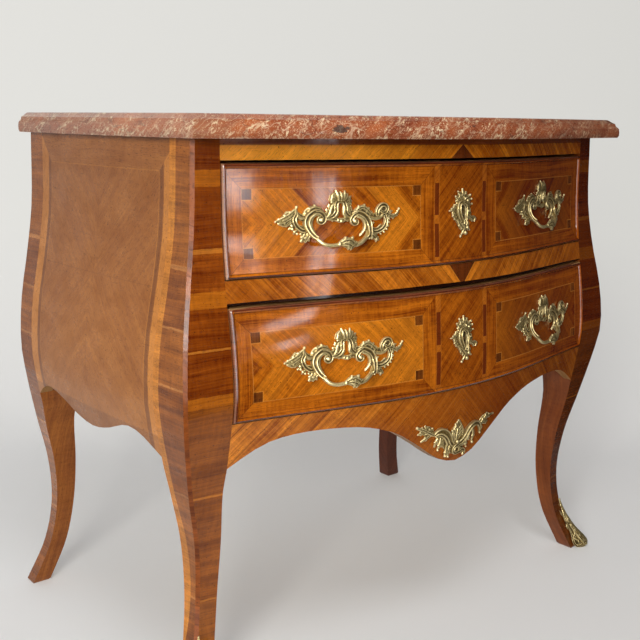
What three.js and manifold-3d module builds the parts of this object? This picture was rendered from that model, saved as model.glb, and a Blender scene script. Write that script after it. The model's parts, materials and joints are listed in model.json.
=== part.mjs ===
// A bombe commode on cabriole legs: two serpentine drawers under a marble slab.
// Millimetres, +Z up. The front faces -Y, and the origin is on the floor under the middle.
// Depths are first worked out from the line through the marble's front corners, and the
// whole group is then moved back so that the origin is in the middle of the depth.
import * as THREE from 'three';
import Module from 'manifold-3d';
import { mergeVertices } from 'three/addons/utils/BufferGeometryUtils.js';

const wasm = await Module();
wasm.setup();

// Overall sizes
const TOTAL_HEIGHT = 850;
const MARBLE_THICKNESS = 32;
const CARCASS_HEIGHT = TOTAL_HEIGHT - MARBLE_THICKNESS;

// Marble slab: half width and depth at its corners, the bow of its edges, its moulding
const MARBLE_HALF_WIDTH = 470;
const MARBLE_REAR_NARROWING = 10;
const MARBLE_REAR_HALF_WIDTH = MARBLE_HALF_WIDTH - MARBLE_REAR_NARROWING;
const MARBLE_DEPTH = 548;
const MARBLE_FRONT_BOW = 80;
const MARBLE_SIDE_BOW = 12;
const MARBLE_MOULDING = 17;

// Body: where the corner of the post stands under the marble, and how far it swells
const SIDE_OVERHANG = 26;
const REAR_OVERHANG = 8;
const POST_TOP_HALF_WIDTH = MARBLE_HALF_WIDTH - SIDE_OVERHANG;
const SIDE_SWELL = 34.5;
const SIDE_BOW = 8;
const FRONT_END_SETBACK = 37;
const FRONT_END_SWELL = 29;
const FRONT_CENTRE_REACH = 33;
const FRONT_CENTRE_SWELL = 19.5;
const BACK_DEPTH = MARBLE_DEPTH - REAR_OVERHANG;
const REAR_FOOT_KICK = 43;

// The serpentine plan: full bow at the middle, none at the drawer ends
const SERPENTINE_SHARE = 0.53;

// Swelling of the body and legs by height, as shares of the carcass height and the swells
const HEIGHT_SHARES = [0, 0.098, 0.196, 0.293, 0.391, 0.489, 0.562, 0.66, 0.758, 0.856, 1];
const SIDE_SWELL_SHARES = [0.78, -0.05, -0.36, -0.2, 0.34, 0.79, 1, 0.86, 0.45, 0.12, 0];
const FRONT_END_SWELL_SHARES = [0.62, -0.38, -0.71, -0.44, 0.14, 0.7, 1, 0.8, 0.36, 0.08, 0];
const CENTRE_SWELL_SHARES = [0, 0, 0, 0.1, 0.62, 0.96, 1, 0.78, 0.48, 0.2, 0.05];
const REAR_KICK_SHARES = [1, 0.49, 0.18, 0.09, 0.02, 0, 0, 0, 0, 0, 0];

// Posts and legs
const POST_TOP_WIDTH = 40.5;
const FRONT_POST_DEPTH = 55;
const REAR_POST_DEPTH = 55;
const OPENING_HALF_WIDTH = POST_TOP_HALF_WIDTH - POST_TOP_WIDTH;
const FRONT_POST_REAR = FRONT_END_SETBACK + FRONT_POST_DEPTH;
const REAR_POST_FRONT = BACK_DEPTH - REAR_POST_DEPTH;
const LEG_HEIGHT_SHARES = [0, 0.225, 0.45, 0.676, 0.9, 1];
const LEG_WIDTH_SHARES = [0.56, 0.52, 0.53, 0.65, 0.85, 1];
const ARRIS_CANT = 4.5;
const FOOT_CHAMFER = 3;
const LEG_RINGS = 22;
const POST_RINGS = 15;

// Front of the carcass, from the top down
const DRAWER_GAP = 4.2;
const REST_GAP = 1;
const FRIEZE_HEIGHT = 33.7;
const UPPER_DRAWER_HEIGHT = 157.2;
const MIDDLE_RAIL_HEIGHT = 38.9;
const LOWER_DRAWER_HEIGHT = 161.3;
const UPPER_DRAWER_TOP = CARCASS_HEIGHT - FRIEZE_HEIGHT;
const UPPER_DRAWER_BOTTOM = UPPER_DRAWER_TOP - UPPER_DRAWER_HEIGHT;
const LOWER_DRAWER_TOP = UPPER_DRAWER_BOTTOM - MIDDLE_RAIL_HEIGHT;
const LOWER_DRAWER_BOTTOM = LOWER_DRAWER_TOP - LOWER_DRAWER_HEIGHT;
const RAIL_DEPTH = 25;
const RAIL_BACK = FRONT_END_SETBACK + RAIL_DEPTH;
const APRON_TOP = LOWER_DRAWER_BOTTOM - REST_GAP;
const APRON_THICKNESS = 30;
const APRON_DROP = 124;
const APRON_ARCH = 96;
const KNEE_DROP = 72;
const KNEE_HEIGHT = LOWER_DRAWER_BOTTOM - KNEE_DROP;

// Boards inside
const RUNNER_GAP = 0.3;
const RUNNER_WIDTH = 40;
const RUNNER_HEIGHT = 26;
const GUIDE_WIDTH = 20;
const GUIDE_HEIGHT = 28;
const DUST_BOARD_THICKNESS = 8;
const TOP_BOARD_THICKNESS = 12;
const BACK_FRAME_THICKNESS = 20;
const BACK_FRAME_WIDTH = 48;
const BACK_PANEL_THICKNESS = 10;
const BACK_INSET = 8;
const STOP_WIDTH = 24;
const STOP_HEIGHT = 16;
const KICKER_DROP = 13;
const SIDE_PANEL_THICKNESS = 22;

// Drawers
const DRAWER_SIDE_GAP = 1.5;
const DRAWER_HALF_WIDTH = OPENING_HALF_WIDTH - DRAWER_SIDE_GAP;
const DRAWER_FRONT_THICKNESS = 24;
const DRAWER_SIDE_THICKNESS = 12;
const DRAWER_BOTTOM_THICKNESS = 8;
const DRAWER_BOTTOM_LIFT = 4;
const DRAWER_SIDE_DROP = 15;
const DRAWER_BACK_GAP = 53;
const DRAWER_BACK = BACK_DEPTH - DRAWER_BACK_GAP;
const BEAD_WIDTH = 7;
const BEAD_HEIGHT = 3.5;

// Locks
const LOCK_WIDTH = 72;
const LOCK_HEIGHT = 96;
const LOCK_THICKNESS = 12;
const BOLT_WIDTH = 26;
const BOLT_THICKNESS = 6;
const BOLT_LENGTH = 46;
const BOLT_TRAVEL = 12;
const KEYHOLE_RADIUS = 3.6;
const KEYHOLE_SLOT_WIDTH = 3.4;
const KEYHOLE_SLOT_LENGTH = 14;
const KEY_RECESS = 8;
const KEYHOLE_SEGMENTS = 6;
const FIT = 0.3;
const OVERRUN = 6;

// Bronzes
const PULL_PLACE_SHARE = 0.582;
const PULL_CENTRE = PULL_PLACE_SHARE * DRAWER_HALF_WIDTH;
const PULL_WIDTH = 195;
const PULL_HEIGHT = 88;
const PULL_REACH = 30;
const PULL_DROP = 2.5;
const ESCUTCHEON_WIDTH = 54;
const ESCUTCHEON_HEIGHT = 82;
const MOUNT_WIDTH = 184;
const MOUNT_HEIGHT = 66;
const MOUNT_DROP = 84;
const MOUNT_CENTRE_HEIGHT = LOWER_DRAWER_BOTTOM - MOUNT_DROP;
const BRONZE_RELIEF = 9;
const SABOT_WRAP = 17;
const SABOT_THICKNESS = 3;

// Finishes
const finishes = {
  marble: { color: 0x9a5c4c, roughness: 0.28, metalness: 0 },
  veneer: { color: 0xa85a22, roughness: 0.3, metalness: 0 },
  banding: { color: 0x5f2c18, roughness: 0.3, metalness: 0 },
  sideVeneer: { color: 0x8a5a3a, roughness: 0.38, metalness: 0 },
  pine: { color: 0xb08a5c, roughness: 0.8, metalness: 0 },
  oak: { color: 0x8a6a42, roughness: 0.75, metalness: 0 },
  bronze: { color: 0xb09a5e, roughness: 0.35, metalness: 1 },
  steel: { color: 0x6a655e, roughness: 0.5, metalness: 1 },
};

const commode = new THREE.Group();

function addPiece(name, geometry, finish) {
  const mesh = new THREE.Mesh(geometry, new THREE.MeshStandardMaterial(finishes[finish]));
  mesh.name = name;
  commode.add(mesh);
}

// Curves

// A smooth curve through points at rising places, as a function of the place
function smoothThrough(places, values) {
  const last = places.length - 1;
  const slopes = values.map((value, i) => {
    const before = Math.max(i - 1, 0);
    const after = Math.min(i + 1, last);
    return (values[after] - values[before]) / (places[after] - places[before]);
  });
  return (place) => {
    const at = Math.min(Math.max(place, places[0]), places[last]);
    let i = 0;
    while (i < last - 1 && at > places[i + 1]) i += 1;
    const span = places[i + 1] - places[i];
    const t = (at - places[i]) / span;
    const rise = 3 * t * t - 2 * t * t * t;
    const lead = t * (1 - t) * (1 - t) * slopes[i];
    const trail = t * t * (1 - t) * slopes[i + 1];
    return values[i] + (values[i + 1] - values[i]) * rise + span * (lead - trail);
  };
}

const heights = HEIGHT_SHARES.map((share) => share * CARCASS_HEIGHT);
const sideSwell = smoothThrough(heights, SIDE_SWELL_SHARES);
const frontEndSwell = smoothThrough(heights, FRONT_END_SWELL_SHARES);
const centreSwell = smoothThrough(heights, CENTRE_SWELL_SHARES);
const rearKick = smoothThrough(heights, REAR_KICK_SHARES);
const legWidthShare = smoothThrough(LEG_HEIGHT_SHARES, LEG_WIDTH_SHARES);

function serpentine(share) {
  return (1 - share * share) * (1 - SERPENTINE_SHARE * share * share);
}

// The three outer surfaces: the front, a side (right hand) and the back of the rear legs
function frontFace(x, z) {
  const end = FRONT_END_SETBACK - FRONT_END_SWELL * frontEndSwell(z);
  const centre = -FRONT_CENTRE_REACH - FRONT_CENTRE_SWELL * centreSwell(z);
  return end + (centre - end) * serpentine(x / DRAWER_HALF_WIDTH);
}

function outerCorner(z) {
  return POST_TOP_HALF_WIDTH + SIDE_SWELL * sideSwell(z);
}

function sideFace(y, z) {
  const share = Math.min(Math.max((y - FRONT_END_SETBACK) / (BACK_DEPTH - FRONT_END_SETBACK), 0), 1);
  return outerCorner(z) + 4 * SIDE_BOW * share * (1 - share);
}

function backFace(z) {
  return BACK_DEPTH + REAR_FOOT_KICK * rearKick(z);
}

// The leg under the knee: its inner faces, which meet the flat inner faces of the post
function innerFace(z) {
  if (z >= KNEE_HEIGHT) return OPENING_HALF_WIDTH;
  const knee = outerCorner(KNEE_HEIGHT) - OPENING_HALF_WIDTH;
  return outerCorner(z) - knee * legWidthShare(z / KNEE_HEIGHT);
}

function frontPostRear(z) {
  if (z >= KNEE_HEIGHT) return FRONT_POST_REAR;
  const knee = FRONT_POST_REAR - frontFace(OPENING_HALF_WIDTH, KNEE_HEIGHT);
  return frontFace(OPENING_HALF_WIDTH, z) + knee * legWidthShare(z / KNEE_HEIGHT);
}

function rearPostFront(z) {
  if (z >= KNEE_HEIGHT) return REAR_POST_FRONT;
  const knee = BACK_DEPTH - REAR_POST_FRONT;
  return backFace(z) - knee * legWidthShare(z / KNEE_HEIGHT);
}

// Solids

function steps(from, to, count) {
  return Array.from({ length: count + 1 }, (_, i) => from + ((to - from) * i) / count);
}

function signedVolume(points, faces) {
  const cross = new THREE.Vector3();
  return faces.reduce((sum, [a, b, c]) => sum + points[a].dot(cross.crossVectors(points[b], points[c])), 0);
}

function solidFrom(points, faces) {
  const outward = signedVolume(points, faces) > 0 ? faces : faces.map(([a, b, c]) => [a, c, b]);
  const geometry = new THREE.BufferGeometry();
  const numbers = points.flatMap((p) => [p.x, p.y, p.z]);
  geometry.setAttribute('position', new THREE.Float32BufferAttribute(numbers, 3));
  geometry.setIndex(outward.flat());
  return geometry;
}

// The triangles of a flat end, turned the way its loop of points runs, or the other way
function endCap(loop, flat, backwards) {
  const loopTurn = Math.sign(THREE.ShapeUtils.area(flat));
  return THREE.ShapeUtils.triangulateShape(flat, []).map((corners) => {
    const turn = Math.sign(THREE.ShapeUtils.area(corners.map((n) => flat[n])));
    const [a, b, c] = corners.map((n) => loop[n]);
    return (turn === loopTurn) !== backwards ? [a, b, c] : [a, c, b];
  });
}

// A solid of rings, one above the other, each with as many points, closed by flat ends
function stackOfRings(rings) {
  const count = rings[0].length;
  const top = (rings.length - 1) * count;
  const points = rings.flat();
  const faces = [];
  for (let low = 0; low < top; low += count) {
    for (let i = 0; i < count; i += 1) {
      const j = (i + 1) % count;
      faces.push([low + i, low + j, low + count + j], [low + i, low + count + j, low + count + i]);
    }
  }
  const flat = (ring) => ring.map((p) => new THREE.Vector2(p.x, p.y));
  const loopFrom = (first) => rings[0].map((_, i) => first + i);
  faces.push(...endCap(loopFrom(0), flat(rings[0]), true));
  faces.push(...endCap(loopFrom(top), flat(rings.at(-1)), false));
  return solidFrom(points, faces);
}

// A plate of one outline in plan, between two heights
function plate(outline, low, high) {
  return stackOfRings([low, high].map((z) => outline.map(([x, y]) => new THREE.Vector3(x, y, z))));
}

// A slab between an outer and an inner sheet of points. A sheet is a list of columns, each
// from bottom to top: both have as many columns, but the inner one may have fewer rows.
function slabBetween(outer, inner) {
  const outerRows = outer[0].length;
  const innerRows = inner[0].length;
  const lastColumn = outer.length - 1;
  const base = outer.length * outerRows;
  const points = [...outer.flat(), ...inner.flat()];
  const out = (i, j) => i * outerRows + j;
  const into = (i, j) => base + i * innerRows + j;
  const faces = [];
  const quad = (a, b, c, d) => faces.push([a, b, c], [a, c, d]);
  for (let i = 0; i < lastColumn; i += 1) {
    for (let j = 0; j < outerRows - 1; j += 1) {
      quad(out(i, j), out(i + 1, j), out(i + 1, j + 1), out(i, j + 1));
    }
    for (let j = 0; j < innerRows - 1; j += 1) {
      quad(into(i, j), into(i, j + 1), into(i + 1, j + 1), into(i + 1, j));
    }
    quad(out(i, 0), into(i, 0), into(i + 1, 0), out(i + 1, 0));
    const [outTop, inTop] = [outerRows - 1, innerRows - 1];
    quad(out(i, outTop), out(i + 1, outTop), into(i + 1, inTop), into(i, inTop));
  }
  const run = outer[lastColumn][0].clone().sub(outer[0][0]);
  const facesSideways = Math.abs(run.x) < Math.abs(run.y);
  [0, lastColumn].forEach((i) => {
    const up = [...Array(outerRows).keys()].map((j) => out(i, j));
    const down = [...Array(innerRows).keys()].map((j) => into(i, innerRows - 1 - j));
    const loop = [...up, ...down];
    const flat = loop.map((n) => new THREE.Vector2(facesSideways ? points[n].x : points[n].y, points[n].z));
    faces.push(...endCap(loop, flat, i === lastColumn));
  });
  return solidFrom(points, faces);
}

function board(x, y, z) {
  const geometry = new THREE.BoxGeometry(x[1] - x[0], y[1] - y[0], z[1] - z[0]);
  return geometry.translate((x[0] + x[1]) / 2, (y[0] + y[1]) / 2, (z[0] + z[1]) / 2);
}

// The left-hand copy of a right-hand piece
function mirrored(geometry) {
  const source = geometry.index ? geometry : mergeVertices(stripped(geometry));
  const place = source.getAttribute('position');
  const points = steps(0, place.count - 1, place.count - 1)
    .map((i) => new THREE.Vector3(-place.getX(i), place.getY(i), place.getZ(i)));
  const index = Array.from(source.index.array);
  const faces = index.filter((_, i) => i % 3 === 0).map((_, i) => index.slice(3 * i, 3 * i + 3));
  return solidFrom(points, faces);
}

function stripped(geometry) {
  geometry.deleteAttribute('normal');
  geometry.deleteAttribute('uv');
  return geometry;
}

function toSolid(geometry) {
  const merged = mergeVertices(stripped(geometry.clone()));
  const vertProperties = new Float32Array(merged.getAttribute('position').array);
  const triVerts = new Uint32Array(merged.index.array);
  return new wasm.Manifold(new wasm.Mesh({ numProp: 3, vertProperties, triVerts }));
}

function toGeometry(solid) {
  const mesh = solid.getMesh();
  const geometry = new THREE.BufferGeometry();
  geometry.setAttribute('position', new THREE.BufferAttribute(new Float32Array(mesh.vertProperties), 3));
  geometry.setIndex(new THREE.BufferAttribute(new Uint32Array(mesh.triVerts), 1));
  return geometry;
}

function cut(geometry, tools) {
  return toGeometry(tools.reduce((solid, tool) => solid.subtract(toSolid(tool)), toSolid(geometry)));
}

function join(geometries) {
  const [first, ...rest] = geometries.map(toSolid);
  return toGeometry(rest.reduce((solid, next) => solid.add(next), first));
}

// Marble slab

// The edge moulding from the bottom up: how far each ring is drawn in, and its height
const MOULDING_INSET_SHARES = [0.12, 0.01, 0, 0.05, 0.24, 0.3, 0.36, 0.62, 0.82, 1];
const MOULDING_HEIGHT_SHARES = [0, 0.12, 0.3, 0.5, 0.62, 0.65, 0.78, 0.86, 0.95, 1];
const MARBLE_FRONT_STEPS = 34;
const MARBLE_SIDE_STEPS = 8;

function marbleRing(inset, z) {
  const frontHalf = MARBLE_HALF_WIDTH - inset;
  const front = steps(-1, 1, MARBLE_FRONT_STEPS).map((share) => {
    const y = inset - MARBLE_FRONT_BOW * serpentine(share);
    return new THREE.Vector3(share * frontHalf, y, z);
  });
  const side = steps(0, 1, MARBLE_SIDE_STEPS).slice(1).map((share) => {
    const straight = MARBLE_HALF_WIDTH + (MARBLE_REAR_HALF_WIDTH - MARBLE_HALF_WIDTH) * share;
    const x = straight + 4 * MARBLE_SIDE_BOW * share * (1 - share) - inset;
    return new THREE.Vector3(x, inset + (MARBLE_DEPTH - inset) * share, z);
  });
  const otherSide = side.map((p) => new THREE.Vector3(-p.x, p.y, p.z)).reverse();
  return [...front, ...side, ...otherSide];
}

function marbleTop() {
  return stackOfRings(MOULDING_INSET_SHARES.map((share, i) => {
    const z = CARCASS_HEIGHT + MARBLE_THICKNESS * MOULDING_HEIGHT_SHARES[i];
    return marbleRing(MARBLE_MOULDING * share, z);
  }));
}

// Posts, each in one with its cabriole leg, with the outer arris planed to a narrow cant

function frontPostRing(z) {
  const corner = outerCorner(z);
  const inner = innerFace(z);
  const rear = frontPostRear(z);
  return [
    [inner, frontFace(inner, z)],
    [corner - ARRIS_CANT, frontFace(corner - ARRIS_CANT, z)],
    [corner, frontFace(corner, z) + ARRIS_CANT],
    [sideFace(rear, z), rear],
    [inner, rear],
  ].map(([x, y]) => new THREE.Vector3(x, y, z));
}

function rearPostRing(z) {
  const corner = outerCorner(z);
  const inner = innerFace(z);
  const front = rearPostFront(z);
  const back = backFace(z);
  return [
    [inner, front],
    [sideFace(front, z), front],
    [corner, back - ARRIS_CANT],
    [corner - ARRIS_CANT, back],
    [inner, back],
  ].map(([x, y]) => new THREE.Vector3(x, y, z));
}

const legHeights = steps(FOOT_CHAMFER, KNEE_HEIGHT, LEG_RINGS);

// The ring at the floor, drawn in all round so that the foot has no sharp rim
function drawnIn(ring, margin) {
  const middle = ring.reduce((sum, p) => sum.add(p), new THREE.Vector3()).divideScalar(ring.length);
  return ring.map((p) => {
    const away = p.clone().sub(middle);
    return middle.clone().add(away.multiplyScalar(1 - margin / away.length()));
  });
}

function post(ringAt) {
  const onFloor = drawnIn(ringAt(0), FOOT_CHAMFER);
  const body = steps(KNEE_HEIGHT, CARCASS_HEIGHT, POST_RINGS).slice(1);
  return stackOfRings([onFloor, ...[...legHeights, ...body].map(ringAt)]);
}

// Sides, front rails and apron

// The lower edge of a side: two arches with a drop between them
const SIDE_EDGE_DROP = 56;
const SIDE_EDGE_HEIGHT = LOWER_DRAWER_BOTTOM - SIDE_EDGE_DROP;
const SIDE_EDGE_RISE = 33;
const SIDE_EDGE_PLACE_SHARES = [0, 0.05, 0.13, 0.22, 0.38, 0.5, 0.62, 0.74, 0.87, 0.95, 1];
const SIDE_EDGE_RISE_SHARES = [0.03, 0.35, 0.78, 0.86, 0.24, 0, 0.22, 0.72, 1, 0.66, 0.25];
const SIDE_COLUMNS = 20;
const SIDE_ROWS = 13;
const SIDE_INNER_ROWS = 7;
const sideEdgeRise = smoothThrough(SIDE_EDGE_PLACE_SHARES, SIDE_EDGE_RISE_SHARES);

function sidePanel() {
  const places = steps(0, 1, SIDE_COLUMNS);
  const sheet = (inset, rows) => places.map((share) => {
    const y = FRONT_POST_REAR + (REAR_POST_FRONT - FRONT_POST_REAR) * share;
    const low = SIDE_EDGE_HEIGHT + SIDE_EDGE_RISE * sideEdgeRise(share);
    return steps(low, CARCASS_HEIGHT, rows).map((z) => new THREE.Vector3(sideFace(y, z) - inset, y, z));
  });
  return slabBetween(sheet(0, SIDE_ROWS), sheet(SIDE_PANEL_THICKNESS, SIDE_INNER_ROWS));
}

const FRONT_COLUMNS = 30;
const RAIL_ROWS = 2;

// A rail across the front, with its back planed flat
function frontRail(low, high) {
  const places = steps(-OPENING_HALF_WIDTH, OPENING_HALF_WIDTH, FRONT_COLUMNS);
  const outer = places.map((x) => steps(low, high, RAIL_ROWS)
    .map((z) => new THREE.Vector3(x, frontFace(x, z), z)));
  const inner = places.map((x) => [low, high].map((z) => new THREE.Vector3(x, RAIL_BACK, z)));
  return slabBetween(outer, inner);
}

const APRON_PLACE_SHARES = [0, 0.06, 0.12, 0.18, 0.25, 0.315, 0.37, 0.47, 0.58, 0.7, 0.8, 0.87, 0.93, 0.97, 1];
const APRON_RISE_SHARES = [0, 0.05, 0.16, 0.34, 0.54, 0.71, 0.81, 0.93, 0.985, 1, 0.965, 0.89, 0.76, 0.66,
  0.58];
const APRON_COLUMNS = 40;
const APRON_ROWS = 5;
const apronRise = smoothThrough(APRON_PLACE_SHARES, APRON_RISE_SHARES);

function apronBack(x) {
  return frontFace(x, APRON_TOP) + APRON_THICKNESS;
}

function apron() {
  const places = steps(-OPENING_HALF_WIDTH, OPENING_HALF_WIDTH, APRON_COLUMNS);
  const lowEdge = (x) => APRON_TOP - APRON_DROP + APRON_ARCH * apronRise(Math.abs(x) / OPENING_HALF_WIDTH);
  const outer = places.map((x) => steps(lowEdge(x), APRON_TOP, APRON_ROWS)
    .map((z) => new THREE.Vector3(x, frontFace(x, z), z)));
  const inner = places.map((x) => [lowEdge(x), APRON_TOP].map((z) => new THREE.Vector3(x, apronBack(x), z)));
  return slabBetween(outer, inner);
}

// The flat board behind the apron that the lower drawer passes over
const LOWER_RAIL_HEIGHT = 24;

function lowerRail() {
  const places = steps(-OPENING_HALF_WIDTH, OPENING_HALF_WIDTH, APRON_COLUMNS);
  const outline = places.map((x) => [x, apronBack(x) + FIT]);
  outline.push([OPENING_HALF_WIDTH, RAIL_BACK], [-OPENING_HALF_WIDTH, RAIL_BACK]);
  return plate(outline, APRON_TOP - LOWER_RAIL_HEIGHT, APRON_TOP);
}

// Drawers

const BEAD_PLACE_SHARES = [0, 0.2, 0.5, 0.8, 1];
const BEAD_HEIGHT_SHARES = [-0.3, 0.7, 1, 0.7, 0];
const beadRise = smoothThrough(BEAD_PLACE_SHARES, BEAD_HEIGHT_SHARES);
const DRAWER_COLUMNS = 22;
const DRAWER_ROWS = 6;
const BOX_INNER_HALF = DRAWER_HALF_WIDTH - DRAWER_SIDE_THICKNESS;

// Places across a drawer front, close together in the bead along each edge
function beadedSteps(low, high, count) {
  const bead = BEAD_PLACE_SHARES.map((share) => share * BEAD_WIDTH);
  const middle = steps(low + BEAD_WIDTH, high - BEAD_WIDTH, count).slice(1, -1);
  return [...bead.map((d) => low + d), ...middle, ...bead.map((d) => high - d).reverse()];
}

// How deep a drawer front's inner face lies, so that it is never thinner than its named size
function innerDepth(x, drawer) {
  return Math.max(frontFace(x, drawer.top), frontFace(x, drawer.bottom)) + DRAWER_FRONT_THICKNESS;
}

// The inner face of a drawer front in plan: flat at both ends, where the sides join it
function innerPlan(x, drawer) {
  const share = Math.min(Math.abs(x) / BOX_INNER_HALF, 1);
  const end = innerDepth(DRAWER_HALF_WIDTH, drawer);
  return end + (innerDepth(0, drawer) - end) * serpentine(share);
}

function keyhole(drawer, from, to) {
  const shape = new THREE.Shape();
  const half = KEYHOLE_SLOT_WIDTH / 2;
  const meet = Math.asin(half / KEYHOLE_RADIUS);
  shape.absarc(0, 0, KEYHOLE_RADIUS, -Math.PI / 2 + meet, 1.5 * Math.PI - meet, false);
  shape.lineTo(-half, -KEYHOLE_SLOT_LENGTH);
  shape.lineTo(half, -KEYHOLE_SLOT_LENGTH);
  shape.closePath();
  const settings = { depth: to - from, bevelEnabled: false, curveSegments: KEYHOLE_SEGMENTS };
  const geometry = new THREE.ExtrudeGeometry(shape, settings);
  return geometry.rotateX(Math.PI / 2).translate(0, to, drawer.keyholeHeight);
}

function drawerFront(drawer) {
  const xs = beadedSteps(-DRAWER_HALF_WIDTH, DRAWER_HALF_WIDTH, DRAWER_COLUMNS);
  const zs = beadedSteps(drawer.bottom, drawer.top, DRAWER_ROWS);
  const outer = xs.map((x) => zs.map((z) => {
    const toSide = DRAWER_HALF_WIDTH - Math.abs(x);
    const toEdge = Math.min(toSide, z - drawer.bottom, drawer.top - z);
    const standing = BEAD_HEIGHT * beadRise(toEdge / BEAD_WIDTH);
    return new THREE.Vector3(x, frontFace(x, z) - standing, z);
  }));
  const inner = xs.map((x) => [drawer.bottom, drawer.top]
    .map((z) => new THREE.Vector3(x, innerPlan(x, drawer), z)));
  const inside = innerPlan(0, drawer);
  const half = LOCK_WIDTH / 2 + FIT;
  const recess = board(
    [-half, half],
    [inside - LOCK_THICKNESS - FIT, inside + OVERRUN],
    [drawer.top - LOCK_HEIGHT - FIT, drawer.top + OVERRUN],
  );
  const hole = keyhole(drawer, inside - LOCK_THICKNESS - DRAWER_FRONT_THICKNESS - OVERRUN, inside);
  return cut(slabBetween(outer, inner), [recess, hole]);
}

function boltPlace(drawer) {
  const middle = innerPlan(0, drawer) - LOCK_THICKNESS / 2;
  return {
    x: [-BOLT_WIDTH / 2, BOLT_WIDTH / 2],
    y: [middle - BOLT_THICKNESS / 2, middle + BOLT_THICKNESS / 2],
    z: [drawer.top - REST_GAP - BOLT_LENGTH, drawer.top - REST_GAP],
  };
}

function lockBolt(drawer) {
  const place = boltPlace(drawer);
  return board(place.x, place.y, place.z);
}

function widened([low, high], margin) {
  return [low - margin, high + margin];
}

function lockCase(drawer) {
  const inside = innerPlan(0, drawer);
  const half = LOCK_WIDTH / 2;
  const caseZ = [drawer.top - LOCK_HEIGHT, drawer.top - FIT];
  const body = board([-half, half], [inside - LOCK_THICKNESS, inside], caseZ);
  const place = boltPlace(drawer);
  const channelZ = [place.z[0] - FIT, drawer.top + OVERRUN];
  const channel = board(widened(place.x, FIT), widened(place.y, FIT), channelZ);
  const hole = keyhole(drawer, inside - LOCK_THICKNESS - OVERRUN, inside - LOCK_THICKNESS + KEY_RECESS);
  return cut(body, [channel, hole]);
}

// The hole in the rail above a drawer that its bolt rises into
function boltMortise(drawer, railLow) {
  const place = boltPlace(drawer);
  const rise = BOLT_TRAVEL + REST_GAP;
  const mortiseZ = [railLow - OVERRUN, drawer.top + rise];
  return board(widened(place.x, REST_GAP), widened(place.y, REST_GAP), mortiseZ);
}

function drawerAt(name, top, bottom) {
  const middle = (top + bottom) / 2;
  return { name, top, bottom, keyholeHeight: middle, pullHeight: middle - PULL_DROP };
}

const upperDrawer = drawerAt('upper', UPPER_DRAWER_TOP, UPPER_DRAWER_BOTTOM);
const lowerDrawer = drawerAt('lower', LOWER_DRAWER_TOP, LOWER_DRAWER_BOTTOM);

function addDrawer(drawer) {
  const { name, top, bottom } = drawer;
  const sideX = [BOX_INNER_HALF, DRAWER_HALF_WIDTH];
  const sideY = [innerPlan(BOX_INNER_HALF, drawer), DRAWER_BACK];
  const side = board(sideX, sideY, [bottom, top - DRAWER_SIDE_DROP]);
  const floor = bottom + DRAWER_BOTTOM_LIFT;
  const floorTop = floor + DRAWER_BOTTOM_THICKNESS;
  const places = steps(-BOX_INNER_HALF, BOX_INNER_HALF, DRAWER_COLUMNS);
  const outline = places.map((x) => [x, innerPlan(x, drawer) + 2 * FIT]);
  outline.push([BOX_INNER_HALF, DRAWER_BACK], [-BOX_INNER_HALF, DRAWER_BACK]);
  const back = board(
    [-BOX_INNER_HALF, BOX_INNER_HALF],
    [DRAWER_BACK - DRAWER_SIDE_THICKNESS, DRAWER_BACK],
    [floorTop, top - DRAWER_SIDE_DROP],
  );
  addPiece(`${name}_drawer_front`, drawerFront(drawer), 'veneer');
  addPiece(`${name}_drawer_right_side`, side, 'oak');
  addPiece(`${name}_drawer_left_side`, mirrored(side), 'oak');
  addPiece(`${name}_drawer_back`, back, 'oak');
  addPiece(`${name}_drawer_bottom`, plate(outline, floor, floorTop), 'oak');
  addPiece(`${name}_lock_case`, lockCase(drawer), 'steel');
  addPiece(`${name}_lock_bolt`, lockBolt(drawer), 'steel');
}

addPiece('marble_top', marbleTop(), 'marble');
addPiece('front_right_post', post(frontPostRing), 'banding');
addPiece('front_left_post', mirrored(post(frontPostRing)), 'banding');
addPiece('rear_right_post', post(rearPostRing), 'sideVeneer');
addPiece('rear_left_post', mirrored(post(rearPostRing)), 'sideVeneer');
addPiece('right_side_panel', sidePanel(), 'sideVeneer');
addPiece('left_side_panel', mirrored(sidePanel()), 'sideVeneer');
const friezeLow = UPPER_DRAWER_TOP + DRAWER_GAP;
const middleHigh = UPPER_DRAWER_BOTTOM - REST_GAP;
const middleLow = LOWER_DRAWER_TOP + DRAWER_GAP;
const friezeRail = cut(frontRail(friezeLow, CARCASS_HEIGHT), [boltMortise(upperDrawer, friezeLow)]);
const middleRail = cut(frontRail(middleLow, middleHigh), [boltMortise(lowerDrawer, middleLow)]);
addPiece('frieze_rail', friezeRail, 'veneer');
addPiece('middle_rail', middleRail, 'veneer');
addPiece('front_apron', apron(), 'veneer');
addPiece('lower_front_rail', lowerRail(), 'oak');
addDrawer(upperDrawer);
addDrawer(lowerDrawer);

// Boards between the posts, and the frame-and-panel back

const BACK_FRONT = BACK_DEPTH - BACK_INSET - BACK_FRAME_THICKNESS;
const BACK_REAR = BACK_DEPTH - BACK_INSET;
const across = [-OPENING_HALF_WIDTH, OPENING_HALF_WIDTH];
const runnerX = [OPENING_HALF_WIDTH - RUNNER_WIDTH, OPENING_HALF_WIDTH];

function addPair(name, geometry, finish) {
  addPiece(name.replace('SIDE', 'right'), geometry, finish);
  addPiece(name.replace('SIDE', 'left'), mirrored(geometry), finish);
}

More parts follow.
